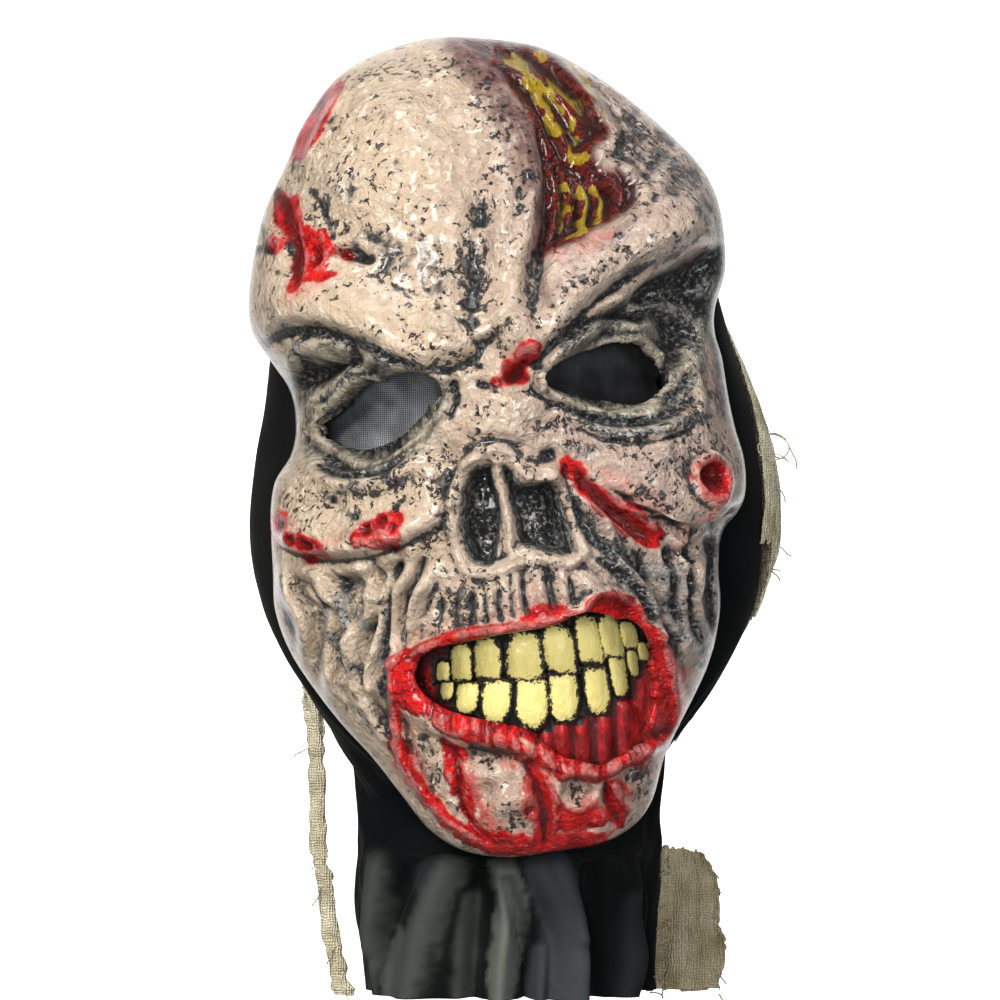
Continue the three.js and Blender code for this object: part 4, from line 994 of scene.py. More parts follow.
def paint_face(s, valley, ridge):
    """Black wash in the hollows, grey patches, red blood and the wound's yellow strands."""
    s.paint["ridge"] = ridge
    s.stroke("blood", [*MOUTH_HOLE, MOUTH_HOLE[0]], 8, 1, 0.3, ends=1)
    aside = 1 - step_up(*MUZZLE_LEFT, s.right) * (1 - step_up(*MUZZLE_RIGHT, s.right))
    cheek = aside * step_up(*TENDONS_TOP, s.down) * (1 - step_up(*TENDONS_FOOT, s.down))
    lump = 1 - step_up(15, 24, np.hypot(s.right - BROW_LUMP[0], s.down - BROW_LUMP[1]))
    chin = step_up(*CHIN_TOP, s.down)
    pale = (1 - 0.85 * lump) * (1 - 0.4 * chin)
    s.paint["wash"] = np.clip(valley, 0, 1) * (0.8 - 0.22 * cheek) * pale
    s.paint["plain"] = cheek
    for points, reach, strength in PLAIN_SKIN:
        s.stroke("plain", points, reach, strength, soft=1)
    s.fill("blood", CHIN_FLUSH, 16, 0.2, 6)
    s.fill("olive", LEFT_SOCKET, 9, 1)
    s.fill("olive", RIGHT_SOCKET, 9, 1)
    s.fill("wash", RIGHT_SOCKET_TOP, 12, 0.7)
    s.stroke("wash", SOCKET_CORNER, 16, 0.45, soft=1)
    for points, reach in LID_CREASES:
        s.stroke("wash", points, reach, 0.95)
    for points, reach, strength in GROOVE_WASH:
        s.stroke("wash", points, reach, strength, 0.5, soft=0.9)
    # Painted highlights on the lump above the left eye and in the right nostril
    for points, reach, strength in PAINTED_HIGHLIGHT_RIDGES:
        s.stroke("ridge", points, reach, strength, soft=1)
    s.fill("wash", LEFT_NOSTRIL, 2, 1.1, 1)
    s.fill("wash", RIGHT_NOSTRIL, 2, 1.1, 1)
    for points, reach, strength in CLOUD_WASH:
        s.stroke("wash", points, reach * 1.2, strength, 0.8, soft=1)
    s.fill("gore", SKULL_WOUND, 4, 1, 3)
    for points, reach, strength in STAINS:
        s.stroke("stain", points, reach, strength, 0.5, soft=1)
    for points, reach in BLOOD:
        s.stroke("blood", points, reach * 1.45, 1, 0.35, soft=0.7)
    for points, strength in BLOOD_FILM:
        s.stroke("blood", points, 26, strength * 1.1, 0.6, soft=1)
    for points, reach in WOUND_STRANDS:
        s.stroke("strands", points, reach * 1.15, 1, 1.3, soft=0.6)


def read_points(mesh):
    places = np.empty(len(mesh.vertices) * 3)
    mesh.vertices.foreach_get("co", places)
    return places.reshape(-1, 3)


def read_normals(mesh):
    normals = np.empty(len(mesh.vertices) * 3)
    mesh.vertex_normals.foreach_get("vector", normals)
    return normals.reshape(-1, 3)


def move_points(mesh, places):
    mesh.vertices.foreach_set("co", places.ravel())
    mesh.update()


def write_layer(mesh, name, values):
    """Give each of the mesh's points its share of a paint."""
    mesh.attributes.new(name, "FLOAT", "POINT").data.foreach_set("value", values)


def ease(mesh, values, rounds):
    """Values spread along the mesh's edges."""
    ends = np.empty(len(mesh.edges) * 2, dtype=int)
    mesh.edges.foreach_get("vertices", ends)
    a, b = ends[0::2], ends[1::2]
    count = np.bincount(ends, minlength=len(values))
    for _ in range(rounds):
        total = np.bincount(a, values[b], len(values)) + np.bincount(b, values[a], len(values))
        values = 0.4 * values + 0.6 * total / count
    return values


def cut_hole(mesh, surface, outline):
    """Faces whose middles lie in the outline, and the points to pull onto its edge."""
    found, deep = surface.inside(outline, 5)
    depth = np.full(len(surface.right), -99.0)
    depth[found] = deep
    corners = np.empty(len(mesh.loops), dtype=int)
    mesh.loops.foreach_get("vertex_index", corners)
    corners = corners.reshape(-1, 4)
    front = surface.share[corners].min(1) > 0
    return (depth[corners].mean(1) > 0) & front, corners


def pull_to_outline(surface, places, picked, outline):
    """Move the cut's border points onto the outline, at the depth they have."""
    line = smooth_line(outline, closed=True, pieces=10)
    at = np.stack([surface.right[picked], surface.down[picked]], 1)
    nearest = line[np.argmin(((at[:, None] - line[None]) ** 2).sum(2), 1)]
    scale = STEP * (1 + places[picked, 1] / VIEW_DISTANCE)
    places[picked, 0] += (nearest[:, 0] - at[:, 0]) * scale
    places[picked, 2] -= (nearest[:, 1] - at[:, 1]) * scale


def make_face():
    bpy.ops.mesh.primitive_grid_add(x_subdivisions=CELLS_ACROSS, y_subdivisions=CELLS_DOWN, size=2)
    face = bpy.context.object
    face.name = "face"
    bpy.ops.object.mode_set(mode="EDIT")
    bpy.ops.mesh.select_mode(type="EDGE")
    bpy.ops.mesh.select_all(action="DESELECT")
    bpy.ops.mesh.select_non_manifold()
    for _ in range(SIDE_RINGS):
        bpy.ops.mesh.extrude_region_move(TRANSFORM_OT_translate={"value": (0, 0, -1)})
    bpy.ops.object.mode_set(mode="OBJECT")
    mesh = face.data
    cells = read_points(mesh)
    ring = np.round(-cells[:, 2])
    places, reach = face_base(cells[:, 0], cells[:, 1], ring)
    move_points(mesh, places)
    normals = read_normals(mesh)
    right, down = in_picture(*places.T)
    surface = Surface(right, down, np.clip(1 - ring * 0.3, 0, 1))
    for carve in (
        carve_forehead, carve_brows, carve_eyes, carve_nose, carve_cheeks, carve_mouth,
        carve_chin, carve_wounds,
    ):
        carve(surface)
    roughen(surface)
    surface.relief = ease(mesh, surface.relief, 1)
    fine = ease(mesh, surface.relief, 3) - surface.relief
    broad = ease(mesh, surface.relief, 22) - surface.relief
    valley = fine / (0.22 * MM) * 0.6 + broad / (1.3 * MM) * 0.8
    ridge = np.clip(-fine / (0.2 * MM) - broad / (2.5 * MM), 0, 1)
    paint_face(surface, valley, ridge)
    surface.paint = {name: ease(mesh, layer, 1) for name, layer in surface.paint.items()}
    ahead = step_up(0.72, 1, reach)[:, None]
    push = normals * (1 - ahead) + np.array([0, -1, 0]) * ahead
    push /= np.linalg.norm(push, axis=1, keepdims=True)
    places += push * surface.relief[:, None]
    gone = np.zeros(len(mesh.polygons), dtype=bool)
    borders = []
    for outline in (LEFT_EYE_HOLE, RIGHT_EYE_HOLE, MOUTH_HOLE):
        hole, corners = cut_hole(mesh, surface, outline)
        gone |= hole
        borders.append((outline, np.intersect1d(corners[hole], corners[~hole])))
    surface.right, surface.down = in_picture(*places.T)
    for outline, picked in borders:
        pull_to_outline(surface, places, picked, outline)
    mesh.vertices.foreach_set("co", places.ravel())
    for name, layer in surface.paint.items():
        write_layer(mesh, name, layer)
    mesh.polygons.foreach_set("select", gone)
    mesh.update()
    bpy.ops.object.mode_set(mode="EDIT")
    bpy.ops.mesh.select_mode(type="FACE")
    bpy.ops.object.mode_set(mode="OBJECT")
    mesh.polygons.foreach_set("select", gone)
    bpy.ops.object.mode_set(mode="EDIT")
    bpy.ops.mesh.delete(type="FACE")
    bpy.ops.object.mode_set(mode="OBJECT")
    return face, places, surface


def make_skin():
    """Painted latex: tan skin with black and grey flakes, gloss blood, and a soft sheen."""
    recipe = Recipe("painted_latex")
    noise, blend, plus, times = recipe.noise, recipe.blend, recipe.plus, recipe.times

    def band(value, low, high, bottom=0.0, top=1.0):
        return recipe.band(value, low, high, bottom, top, "SMOOTHSTEP")

    def most(a, b):
        return recipe.sums("MAXIMUM", a, b)

    names = ("wash", "blood", "gore", "strands", "ridge", "stain", "olive", "plain")
    wash, blood, gore, strands, ridge, stain, olive, plain = map(recipe.layer, names)
    broad, fine, dots = noise(24, 3), noise(620, 6, 0.7, 0.2), noise(1500, 3, 0.6)
    flakes, groups, grain = noise(430, 6, 0.66, 0.5), noise(70, 5, 0.65), noise(300, 7, 0.62, 0.6)

    # Tan skin, darker to the right with painted shade and a little pinker there, with pale ridges,
    # painted highlights and a red bloom round the blood
    # Painted shade: the skin darkens towards the right side, mixed with its own uneven tone
    tone_and_shade = plus(band(recipe.axis("X"), -0.07, 0.07, 0, 0.6), broad, 0.55)
    skin = blend(band(tone_and_shade, 0.2, 0.85), (0.55, 0.425, 0.3), (0.4, 0.29, 0.24))
    skin = blend(band(noise(85, 4), 0.5, 0.7, 0, 0.5), skin, (0.62, 0.49, 0.37))
    skin = blend(times(ridge, 0.4), skin, (0.68, 0.56, 0.44))
    # Painted highlights: pale cream spots where the fine bumps rise
    painted_highlight = times(band(grain, 0.53, 0.63), band(noise(60, 4), 0.42, 0.6, 0.15, 0.75))
    skin = blend(painted_highlight, skin, (0.82, 0.76, 0.64))
    skin = blend(times(stain, 0.85), skin, (0.1, 0.035, 0.035))
    bloom = plus(blood, fine, 0.35)
    skin = blend(band(bloom, 0.26, 0.9, 0, 0.85), skin, (0.66, 0.2, 0.16))
    skin = blend(band(bloom, 0.55, 0.9, 0, 0.85), skin, (0.58, 0.045, 0.04))
    lid = blend(ridge, (0.075, 0.065, 0.047), (0.46, 0.39, 0.28))
    lid = blend(band(noise(200, 5), 0.46, 0.66, 0, 0.8), lid, (0.025, 0.025, 0.024))
    skin = blend(times(olive, 0.94), skin, lid)

    # Grey and black flakes, thickest in the hollows, with pale grey on the ridges there, partly
    # black worn off and partly painted highlight
    crowd = plus(plus(plus(times(groups, 0.56), wash, 0.16), plain, -0.09), -0.03)
    field = plus(flakes, crowd)
    rubbed = plus(wash, plus(fine, -0.5), 1.3)
    grey = plus(band(field, 0.93, 0.98), band(rubbed, 0.3, 0.85, 0, 0.8))
    ash = blend(band(wash, 0.25, 0.6), (0.05, 0.057, 0.067), (0.12, 0.133, 0.15))
    skin = blend(band(grey, 0, 1, 0, 0.88), skin, ash)
    rim = times(band(field, 0.865, 0.885), band(field, 0.965, 0.93))
    specks = band(plus(fine, crowd, 0.62), 0.845, 0.875)
    spots = band(plus(dots, crowd, 0.4), 0.86, 0.88, 0, 0.9)
    deep = band(plus(wash, plus(fine, ridge, -1.0), 0.45), 0.64, 0.95)
    dark = most(most(rim, specks), most(spots, deep))
    skin = blend(dark, skin, (0.008, 0.009, 0.011))
    # Pale grey on the ridges of the dark hollows: partly worn-off black paint, partly painted
    # highlight
    worn = times(band(fine, 0.51, 0.6), most(olive, band(wash, 0.5, 0.9)))
    worn = times(worn, plus(0.3, ridge, 0.7))
    skin = blend(worn, skin, (0.56, 0.55, 0.5))

    # Gloss blood with clots, and the skull wound's dark meat and yellow strands
    bled = band(plus(blood, flakes, 0.45), 0.6, 1.12)
    redness = blend(band(noise(130, 4), 0.4, 0.62), (0.38, 0.005, 0.007), (0.72, 0.012, 0.012))
    # Pale pink on the blood's crests: partly dry-brushed paint, partly painted highlight
    frost_and_highlight = band(plus(noise(150, 5), ridge, 0.5), 0.82, 1.02, 0, 0.5)
    skin = blend(bled, skin, blend(frost_and_highlight, redness, (0.6, 0.28, 0.25)))
    clots = times(band(plus(wash, fine, 0.6), 0.6, 1.1), bled)
    skin = blend(times(clots, 0.85), skin, (0.07, 0.004, 0.004))
    meat = blend(band(flakes, 0.4, 0.6), (0.018, 0.005, 0.004), (0.17, 0.011, 0.007))
    skin = blend(gore, skin, meat)
    skin = blend(band(plus(strands, fine, 0.7), 0.8, 1.1), skin, (0.34, 0.225, 0.015))
    pits = times(gore, band(wash, 0.3, 0.8))
    skin = blend(times(pits, 0.9), skin, (0.02, 0.006, 0.005))

    wet = most(bled, gore)
    creases = plus(plus(grain, noise(760, 4, 0.6), 0.4), noise(125, 3, 0.5), 1.5)
    creases = plus(creases, times(wet, noise(520, 3)), 1.2)
    return recipe.finish({
        "Base Color": skin, "Roughness": band(wet, 0, 1, 0.3, 0.14), "Specular IOR Level": 0.32,
        "Coat Weight": 0.3, "Coat Roughness": 0.12,
    }, plus(creases, dark, -0.12), 1.0, 0.003)


face, face_places, face_surface = make_face()
face.data.materials.append(make_skin())
outer_faces = len(face.data.polygons)
thicken = face.modifiers.new("wall", "SOLIDIFY")
thicken.thickness = CASTING_WALL
thicken.offset = -1
bpy.context.view_layer.objects.active = face
bpy.ops.object.modifier_apply(modifier="wall")
inner = np.zeros(len(face.data.polygons), dtype=bool)
inner[outer_faces:2 * outer_faces] = True
face.data.polygons.foreach_set("select", inner)
bpy.ops.object.mode_set(mode="EDIT")
bpy.ops.mesh.decimate(ratio=0.2)
bpy.ops.object.mode_set(mode="OBJECT")
bpy.ops.object.shade_smooth()
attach(face, "root")
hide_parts("face_shell")
bpy.ops.object.select_all(action="DESELECT")


# The eye meshes: a scrap of black scrim glued behind each eye hole, so that the wearer sees
# out. Each lies against the inside of the casting and reaches past the rim of its hole.
GLUE_MARGIN = 4 * MM
GLUE_GAP = 0.6 * MM
SCRIM_WALL = 0.5 * MM


def depth_behind(outline, margin):
    """A smooth sheet just behind the casting round a hole, as depth by place in the picture."""
    found, deep = face_surface.inside(outline, margin / STEP)
    found = found[deep <= 0]
    x, y = face_surface.right[found] - outline[0][0], face_surface.down[found] - outline[0][1]
    terms = np.stack([np.ones(len(x)), x, y, x * x, x * y, y * y], 1)
    depth = face_places[found, 1] + CASTING_WALL
    shares = np.linalg.lstsq(terms, depth, rcond=None)[0]
    shares[0] += max(0, (depth - terms @ shares).max()) + GLUE_GAP

    def depth_at(right, down):
        x, y = right - outline[0][0], down - outline[0][1]
        return np.stack([np.ones(len(x)), x, y, x * x, x * y, y * y], 1) @ shares

    return depth_at


def patch_in_outline(name, outline, margin, rings):
    """A flat disc of rings pressed into an outline that is grown by a margin."""
    line = smooth_line(outline, closed=True, pieces=6)
    middle = line.mean(0)
    bpy.ops.mesh.primitive_circle_add(vertices=len(line), fill_type="NOTHING")
    patch = bpy.context.object
    patch.name = name
    bpy.ops.object.mode_set(mode="EDIT")
    bpy.ops.mesh.select_all(action="SELECT")
    for _ in range(rings - 1):
        bpy.ops.mesh.extrude_edges_move(TRANSFORM_OT_translate={"value": (0, 0, 1)})
    bpy.ops.mesh.edge_face_add()
    bpy.ops.mesh.poke()
    bpy.ops.object.mode_set(mode="OBJECT")
    cells = read_points(patch.data)
    share = np.where(np.hypot(cells[:, 0], cells[:, 1]) < 0.5, 0, 1 - np.round(cells[:, 2]) / rings)
    turn = np.arctan2(cells[:, 0], cells[:, 1]) / (2 * np.pi) % 1
    away = line - middle
    out = away * (1 + margin / STEP / np.hypot(*away.T))[:, None]
    at = middle + out[np.round(turn * len(line)).astype(int) % len(line)] * share[:, None]
    return patch, at


def place_patch(patch, at, depth):
    x, z = in_space(at[:, 0], at[:, 1], depth)
    move_points(patch.data, np.stack([x, depth, z], 1))
    bpy.ops.object.mode_set(mode="EDIT")
    bpy.ops.mesh.select_all(action="SELECT")
    bpy.ops.mesh.normals_make_consistent(inside=False)
    bpy.ops.object.mode_set(mode="OBJECT")
    if sum(p.normal.y * p.area for p in patch.data.polygons) > 0:
        patch.data.flip_normals()


def thicken_inwards(sheet, wall):
    wall_maker = sheet.modifiers.new("wall", "SOLIDIFY")
    wall_maker.thickness = wall
    wall_maker.offset = -1
    bpy.context.view_layer.objects.active = sheet
    bpy.ops.object.modifier_apply(modifier="wall")
    bpy.ops.object.shade_smooth()


def make_scrim():
    """Black threads with a painted grey sheen, most of all in the left eye's middle."""
    recipe = Recipe("eye_scrim")
    weave = recipe.weave("MAXIMUM", 480, 2.4, 1)
    across = recipe.axis("X")
    share = recipe.sums("POWER", weave, 3)
    # Painted sheen: the threads' grey stands for reflected light, dimmer to the right and to the
    # far left, and uneven by noise
    for patch in (
        recipe.band(across, -0.035, 0.01, 1, 0.22), recipe.band(across, -0.062, -0.034, 0.25, 1),
        recipe.band(recipe.noise(70, 2, 0.5), 0.4, 0.62, 0.5, 1),
    ):
        share = recipe.times(share, patch)
    return recipe.finish({
        "Base Color": recipe.ramp(share, 0.1, (0.006, 0.006, 0.007), 1, (0.42, 0.45, 0.48)),
        "Roughness": 0.75, "Specular IOR Level": 0.2,
    }, weave, 0.6, 0.0003)


scrim = make_scrim()
for name, outline in (("eye_mesh_left", LEFT_EYE_HOLE), ("eye_mesh_right", RIGHT_EYE_HOLE)):
    patch, at = patch_in_outline(name + "_scrim", outline, GLUE_MARGIN, 16)
    place_patch(patch, at, depth_behind(outline, GLUE_MARGIN)(at[:, 0], at[:, 1]))
    thicken_inwards(patch, SCRIM_WALL)
    patch.data.materials.append(scrim)
    corners = read_points(patch.data)
    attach(patch, "root")
    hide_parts(name)
bpy.ops.object.select_all(action="DESELECT")


# The teeth: two cast rows, each with its half of the gums, set behind the lips. They are
# painted pale yellow over black, and the black shows in the gaps and along the edges.
GUM_MARGIN = 4 * MM
GUM_WALL = 2.0 * MM
GUM_SINK = 0.4 * MM
TOOTH_THICKNESS = 5.5 * MM
TOOTH_SINK = 1.5 * MM
TOOTH_ROUNDING = 0.62
TOOTH_SWELL = 1.9 * MM
TOOTH_SPREAD = 1.07
TOOTH_STRETCH = 1.08
TOOTH_SHIFT = 0.04

# Across and down in the picture, width, height, and lean to the left at the foot in degrees
UPPER_TEETH = [
    (443, 672, 16, 22, 0), (461, 664, 24, 40, 2), (487, 660, 31, 45, 3), (524, 658, 41, 50, 3),
    (559, 651, 35, 50, 9), (589, 642, 30, 50, 7), (611, 639, 26, 45, 12), (629, 636, 20, 30, 12),
    (643, 652, 12, 19, 8),
]
LOWER_TEETH = [
    (447, 690, 15, 20, -4), (467, 697, 25, 32, -5), (496, 700, 33, 45, -3), (532, 702, 36, 52, 0),
    (564, 696, 33, 50, 3), (597, 688, 28, 49, 6), (619, 675, 20, 42, 8), (633, 661, 13, 28, 8),
]
BITE_LINE = [
    (400, 684), (454, 681), (490, 680), (520, 680), (545, 676), (580, 670), (605, 663),
    (627, 652), (668, 630),
]

# The gums' ridges below the right teeth, as across, top and foot, and those beside them
GUM_RIDGES = [
    (562, 726, 752), (581, 722, 762), (604, 716, 762), (624, 704, 758), (546, 732, 748),
]
GUM_SIDE_RIDGES = [
    [(640, 640), (644, 680), (640, 730)], [(650, 644), (656, 690), (648, 738)],
    [(632, 700), (634, 724), (640, 744)],
]
GUM_CORNER = [(426, 664), (436, 690), (450, 706)]
UPPER_GUM_RIDGES = [478, 506, 542, 575, 601, 622]
UPPER_GUM_BAND = (628, 650)

gum_depth = depth_behind(MOUTH_HOLE, GUM_MARGIN)


def bite_at(right):
    line = smooth_line(BITE_LINE)
    return np.interp(right, line[:, 0], line[:, 1])


def make_tooth(right, down, wide, tall, lean, seed, side):
    down = down + side * tall * TOOTH_SHIFT
    wide, tall = wide * TOOTH_SPREAD, tall * TOOTH_STRETCH
    bpy.ops.mesh.primitive_cube_add(size=2)
    tooth = bpy.context.object
    bpy.ops.object.mode_set(mode="EDIT")
    bpy.ops.mesh.select_all(action="SELECT")
    bpy.ops.mesh.subdivide(number_cuts=19)
    bpy.ops.object.mode_set(mode="OBJECT")
    block = read_points(tooth.data)
    core = np.clip(block, TOOTH_ROUNDING - 1, 1 - TOOTH_ROUNDING)
    out = block - core
    length = np.maximum(np.linalg.norm(out, axis=1, keepdims=True), 1e-9)
    block = core + out / length * np.minimum(length, TOOTH_ROUNDING)
    root = block[:, 2] if side < 0 else -block[:, 2]
    foot = 1 if side > 0 else 0.4
    corner = 1 - 0.1 * step_up(0.2, 1, -root) - 0.16 * step_up(0, 1, root) * foot
    at = right + block[:, 0] * wide / 2 * corner
    at -= block[:, 2] * tall / 2 * math.tan(math.radians(lean))
    low = down - block[:, 2] * tall / 2
    swell = TOOTH_SWELL * (1 - block[:, 0] ** 2) * (1 - 0.6 * block[:, 2] ** 2)
    grooves = 0.28 * MM * lumps(at + seed * 40, low * 0.18, 5)
    grooves += 0.16 * MM * lumps(at, low + seed, 4)
    front = block[:, 1] < 0
    depth = gum_depth(at, low) + GUM_SINK + TOOTH_SINK - TOOTH_THICKNESS / 2
    depth = depth + block[:, 1] * TOOTH_THICKNESS / 2 - np.where(front, swell + grooves, 0)
    x, z = in_space(at, low, depth)
    move_points(tooth.data, np.stack([x, depth, z], 1))
    across, up = np.abs(block[:, 0]), np.abs(block[:, 2])
    rounded = (across**3 + (0.93 * up) ** 3) ** (1 / 3)
    edge = np.where(root > 0, rounded, np.maximum(across, 0.97 * up))
    edge = edge + 0.07 * lumps(at + seed * 9, low, 7)
    black = np.maximum(step_up(0.52, 1.0, edge), step_up(-0.5, 0.1, block[:, 1]))
    write_layer(tooth.data, "black", black)
    write_layer(tooth.data, "gum", np.zeros(len(black)))
    return tooth


def make_gum(name, side):
    """Half of the gums: the mouth's outline, flattened against the bite line."""
    gum, at = patch_in_outline(name, MOUTH_HOLE, GUM_MARGIN, 26)
    bite = bite_at(at[:, 0]) + side * 1.0
    at[:, 1] = np.where(side * (at[:, 1] - bite) > 0, at[:, 1], bite)
    surface = Surface(at[:, 0], at[:, 1], np.ones(len(at)))
    found, deep = surface.inside(MOUTH_HOLE, 1)
    sunk = np.zeros(len(at))
    sunk[found] = step_up(0, 16, deep) * GUM_SINK
    for right, top, low in GUM_RIDGES:
        surface.form([(right, top), (right + 2, low)], 10, 4.4, ends=0.8)
    for path in GUM_SIDE_RIDGES:
        surface.form(path, 8, 4)
    surface.form(GUM_CORNER, 12, 2.2)
    for right in UPPER_GUM_RIDGES:
        surface.form([(right, down) for down in UPPER_GUM_BAND], 10, 1.6)
    depth = gum_depth(at[:, 0], at[:, 1]) + sunk - surface.relief
    place_patch(gum, at, depth)
    hollow = 1 - step_up(0.3 * MM, 2.6 * MM, surface.relief)
    write_layer(gum.data, "hollow", hollow)
    thicken_inwards(gum, GUM_WALL)
    right, down = in_picture(*read_points(gum.data).T)
    near = np.full(len(right), 99.0)
    for x, y, wide, tall, _ in UPPER_TEETH + LOWER_TEETH:
        away = np.hypot(
            np.maximum(np.abs(right - x) - wide / 2, 0), np.maximum(np.abs(down - y) - tall / 2, 0)
        )
        near = np.minimum(near, away)
    write_layer(gum.data, "black", 1 - step_up(1, 7, near))
    write_layer(gum.data, "gum", np.ones(len(near)))
    return gum


def make_enamel():
    """Pale yellow paint in streaks, worn to black at the edges, over red gums."""
    recipe = Recipe("painted_teeth")
    mix, band = recipe.blend, recipe.band
    stretch = recipe.nodes.new("ShaderNodeMapping")
    stretch.inputs["Scale"].default_value = (1, 1, 0.3)
    tall = recipe.wire(stretch, {"Vector": recipe.place}, "Vector")
    streaks = recipe.noise(900, 4, 0.7, place=tall)
    specks = recipe.noise(900, 5, 0.7)
    enamel = mix(band(streaks, 0.35, 0.7), (1.0, 0.88, 0.34), (0.95, 0.8, 0.24))
    worn = recipe.plus(recipe.layer("black"), specks, 2.4)
    enamel = mix(band(worn, 1.66, 1.76), enamel, (0.014, 0.013, 0.011))
    enamel = mix(band(specks, 0.7, 0.73, 0, 0.8), enamel, (0.03, 0.025, 0.018))
    blotches = recipe.noise(200, 4, 0.7)
    flesh = mix(band(blotches, 0.36, 0.6), (0.2, 0.006, 0.008), (0.55, 0.012, 0.016))
    flesh = mix(band(recipe.layer("hollow"), 0.2, 1, 0, 0.85), flesh, (0.03, 0.003, 0.005))
    flesh = mix(band(worn, 1.5, 1.8), flesh, (0.012, 0.008, 0.008))
    return recipe.finish({
        "Base Color": mix(recipe.layer("gum"), enamel, flesh), "Roughness": 0.3,
        "Coat Weight": 0.3, "Coat Roughness": 0.2,
    }, recipe.plus(streaks, specks, 0.8), 0.7, 0.0012)


enamel = make_enamel()
for name, rows, side in (("upper_teeth", UPPER_TEETH, -1), ("lower_teeth", LOWER_TEETH, 1)):
    pieces = [make_tooth(*row, i + 3 * side, side) for i, row in enumerate(rows)]
    gum = make_gum(name + "_cast", side)
    for piece in pieces:
        piece.select_set(True)
    gum.select_set(True)
    bpy.context.view_layer.objects.active = gum
    bpy.ops.object.join()
    bpy.ops.object.shade_smooth()
    gum.data.materials.append(enamel)
    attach(gum, "root")
    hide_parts(name)
    bpy.ops.object.select_all(action="DESELECT")


# The hood: black jersey sewn to the inside of the casting's rim. It rounds the back of the
# head, draws in at the nape and the throat, and hangs below the chin in soft folds.
HOOD_WIDTH = 178 * MM
HOOD_DEPTH = 150 * MM
HOOD_HEIGHT = 285 * MM
HOOD_ASIDE = 3.5 * MM
HEAD_MIDDLE_DEPTH = 20 * MM
HOOD_MIDDLE = np.array([HOOD_ASIDE, HEAD_MIDDLE_DEPTH, -150 * MM])
THROAT_FORWARD = 14 * MM
THROAT_DROP = 140 * MM
NECK_WIDTH = 106 * MM
NECK_DEPTH = 70 * MM
DRAPE_DROP = 47 * MM
CLOTH_WALL = 1.5 * MM
TUCK = 3.8 * MM
RIM_LAP = 2.2 * MM
FRONT_NARROWING = 0.4
HOOD_TURNS = 280
HOOD_CELLS = 164

# Each section lies in a plane through the throat: its lean to the back in degrees, its width
# as a share of the hood's, its near and far ends as shares of the hood's size that way, and
# how far it has left the rim's form
HOOD_SECTIONS = [
    (18, 0.99, 0.05, 1, 0.5), (26, 1, 0.05, 0.995, 0.95), (33.5, 0.99, 0.045, 0.95, 1),
    (41, 0.88, 0.04, 0.89, 1), (50, 0.72, 0.035, 0.79, 1), (59, 0.62, 0.03, 0.68, 1),
    (72, 0.595, 0.02, 0.555, 1), (90, 0.585, 0.01, 0.477, 1),
]
# Levels of the drape: share of its drop, and of the neck's width and depth
DRAPE_LEVELS = [(0.3, 0.98, 0.98), (0.65, 0.95, 0.96), (1, 0.925, 0.94)]
# Folds round the neck: share of a turn from the back over the right, half width, and rise in mm
NECK_FOLDS = [
    (0.35, 0.022, 2.5), (0.28, 0.03, -3), (0.67, 0.025, 3), (0.74, 0.03, -3), (0.2, 0.03, 3.5),
    (0.81, 0.03, 3.5), (0.12, 0.03, -3.5), (0.89, 0.03, -3.5), (0.03, 0.03, 3.5),
]


def rim_points(turn, back):
    """The casting's side wall at a share of the way from its outline to its rear rim."""
    turns, rows = outline_round()
    edge = np.stack([np.interp(turn, turns, column, period=1) for column in rows.T], 1)
    keep = 1 - (1 - edge[:, 4]) * back**2
    return np.stack([
        edge[:, 0] * keep,
        edge[:, 1] + (edge[:, 3] - edge[:, 1]) * back,
        middle_z + (edge[:, 2] - middle_z) * keep,
    ], 1)


def sunk(points, depth):
    centre = np.array([0, HEAD_MIDDLE_DEPTH, middle_z])
    way = centre - points
    return points + way / np.linalg.norm(way, axis=1, keepdims=True) * depth


def hood_rings(turn):
    """The hood's key rings from the tucked edge to the hem, at places round it."""
    angle = 2 * np.pi * turn
    folds = np.zeros(len(turn))
    for at, half, rise in NECK_FOLDS:
        away = np.abs(turn - at)
        folds += rise * MM * np.exp(-((np.minimum(away, 1 - away) / half) ** 2))
    rings = [sunk(rim_points(turn, 0.5), TUCK), sunk(rim_points(turn, 1), TUCK)]
    past = rings[1] + np.array([0, RIM_LAP, 0])
    rings.append(past)
    for lean, wide, near, far, leave in HOOD_SECTIONS:
        way = math.radians(lean)
        size = math.hypot(HOOD_DEPTH * math.sin(way), HOOD_HEIGHT * math.cos(way))
        fold = folds * step_up(33, 90, lean) * 0.5
        out = (near + far) / 2 * size + ((far - near) / 2 * size + fold) * np.cos(angle)
        narrow = 1 - FRONT_NARROWING * np.minimum(np.cos(angle), 0) ** 2 * step_up(90, 33, lean)
        oval = np.stack([
            HOOD_ASIDE + (wide * HOOD_WIDTH / 2 + fold) * np.sin(angle) * narrow,
            out * math.sin(way) - THROAT_FORWARD,
            out * math.cos(way) - THROAT_DROP + middle_z,
        ], 1)
        rings.append(past + (oval - past) * leave)
    neck = HOOD_SECTIONS[-1]
    middle_y = (neck[2] + neck[3]) / 2 * HOOD_DEPTH - THROAT_FORWARD
    for down, wide, deep in DRAPE_LEVELS:
        fold = folds * (0.5 + 0.5 * down)
        rings.append(np.stack([
            HOOD_ASIDE + (wide * NECK_WIDTH / 2 + fold) * np.sin(angle),
            middle_y + (deep * NECK_DEPTH / 2 + fold) * np.cos(angle),
            np.full(len(turn), middle_z - THROAT_DROP - down * DRAPE_DROP),
        ], 1))
    return rings


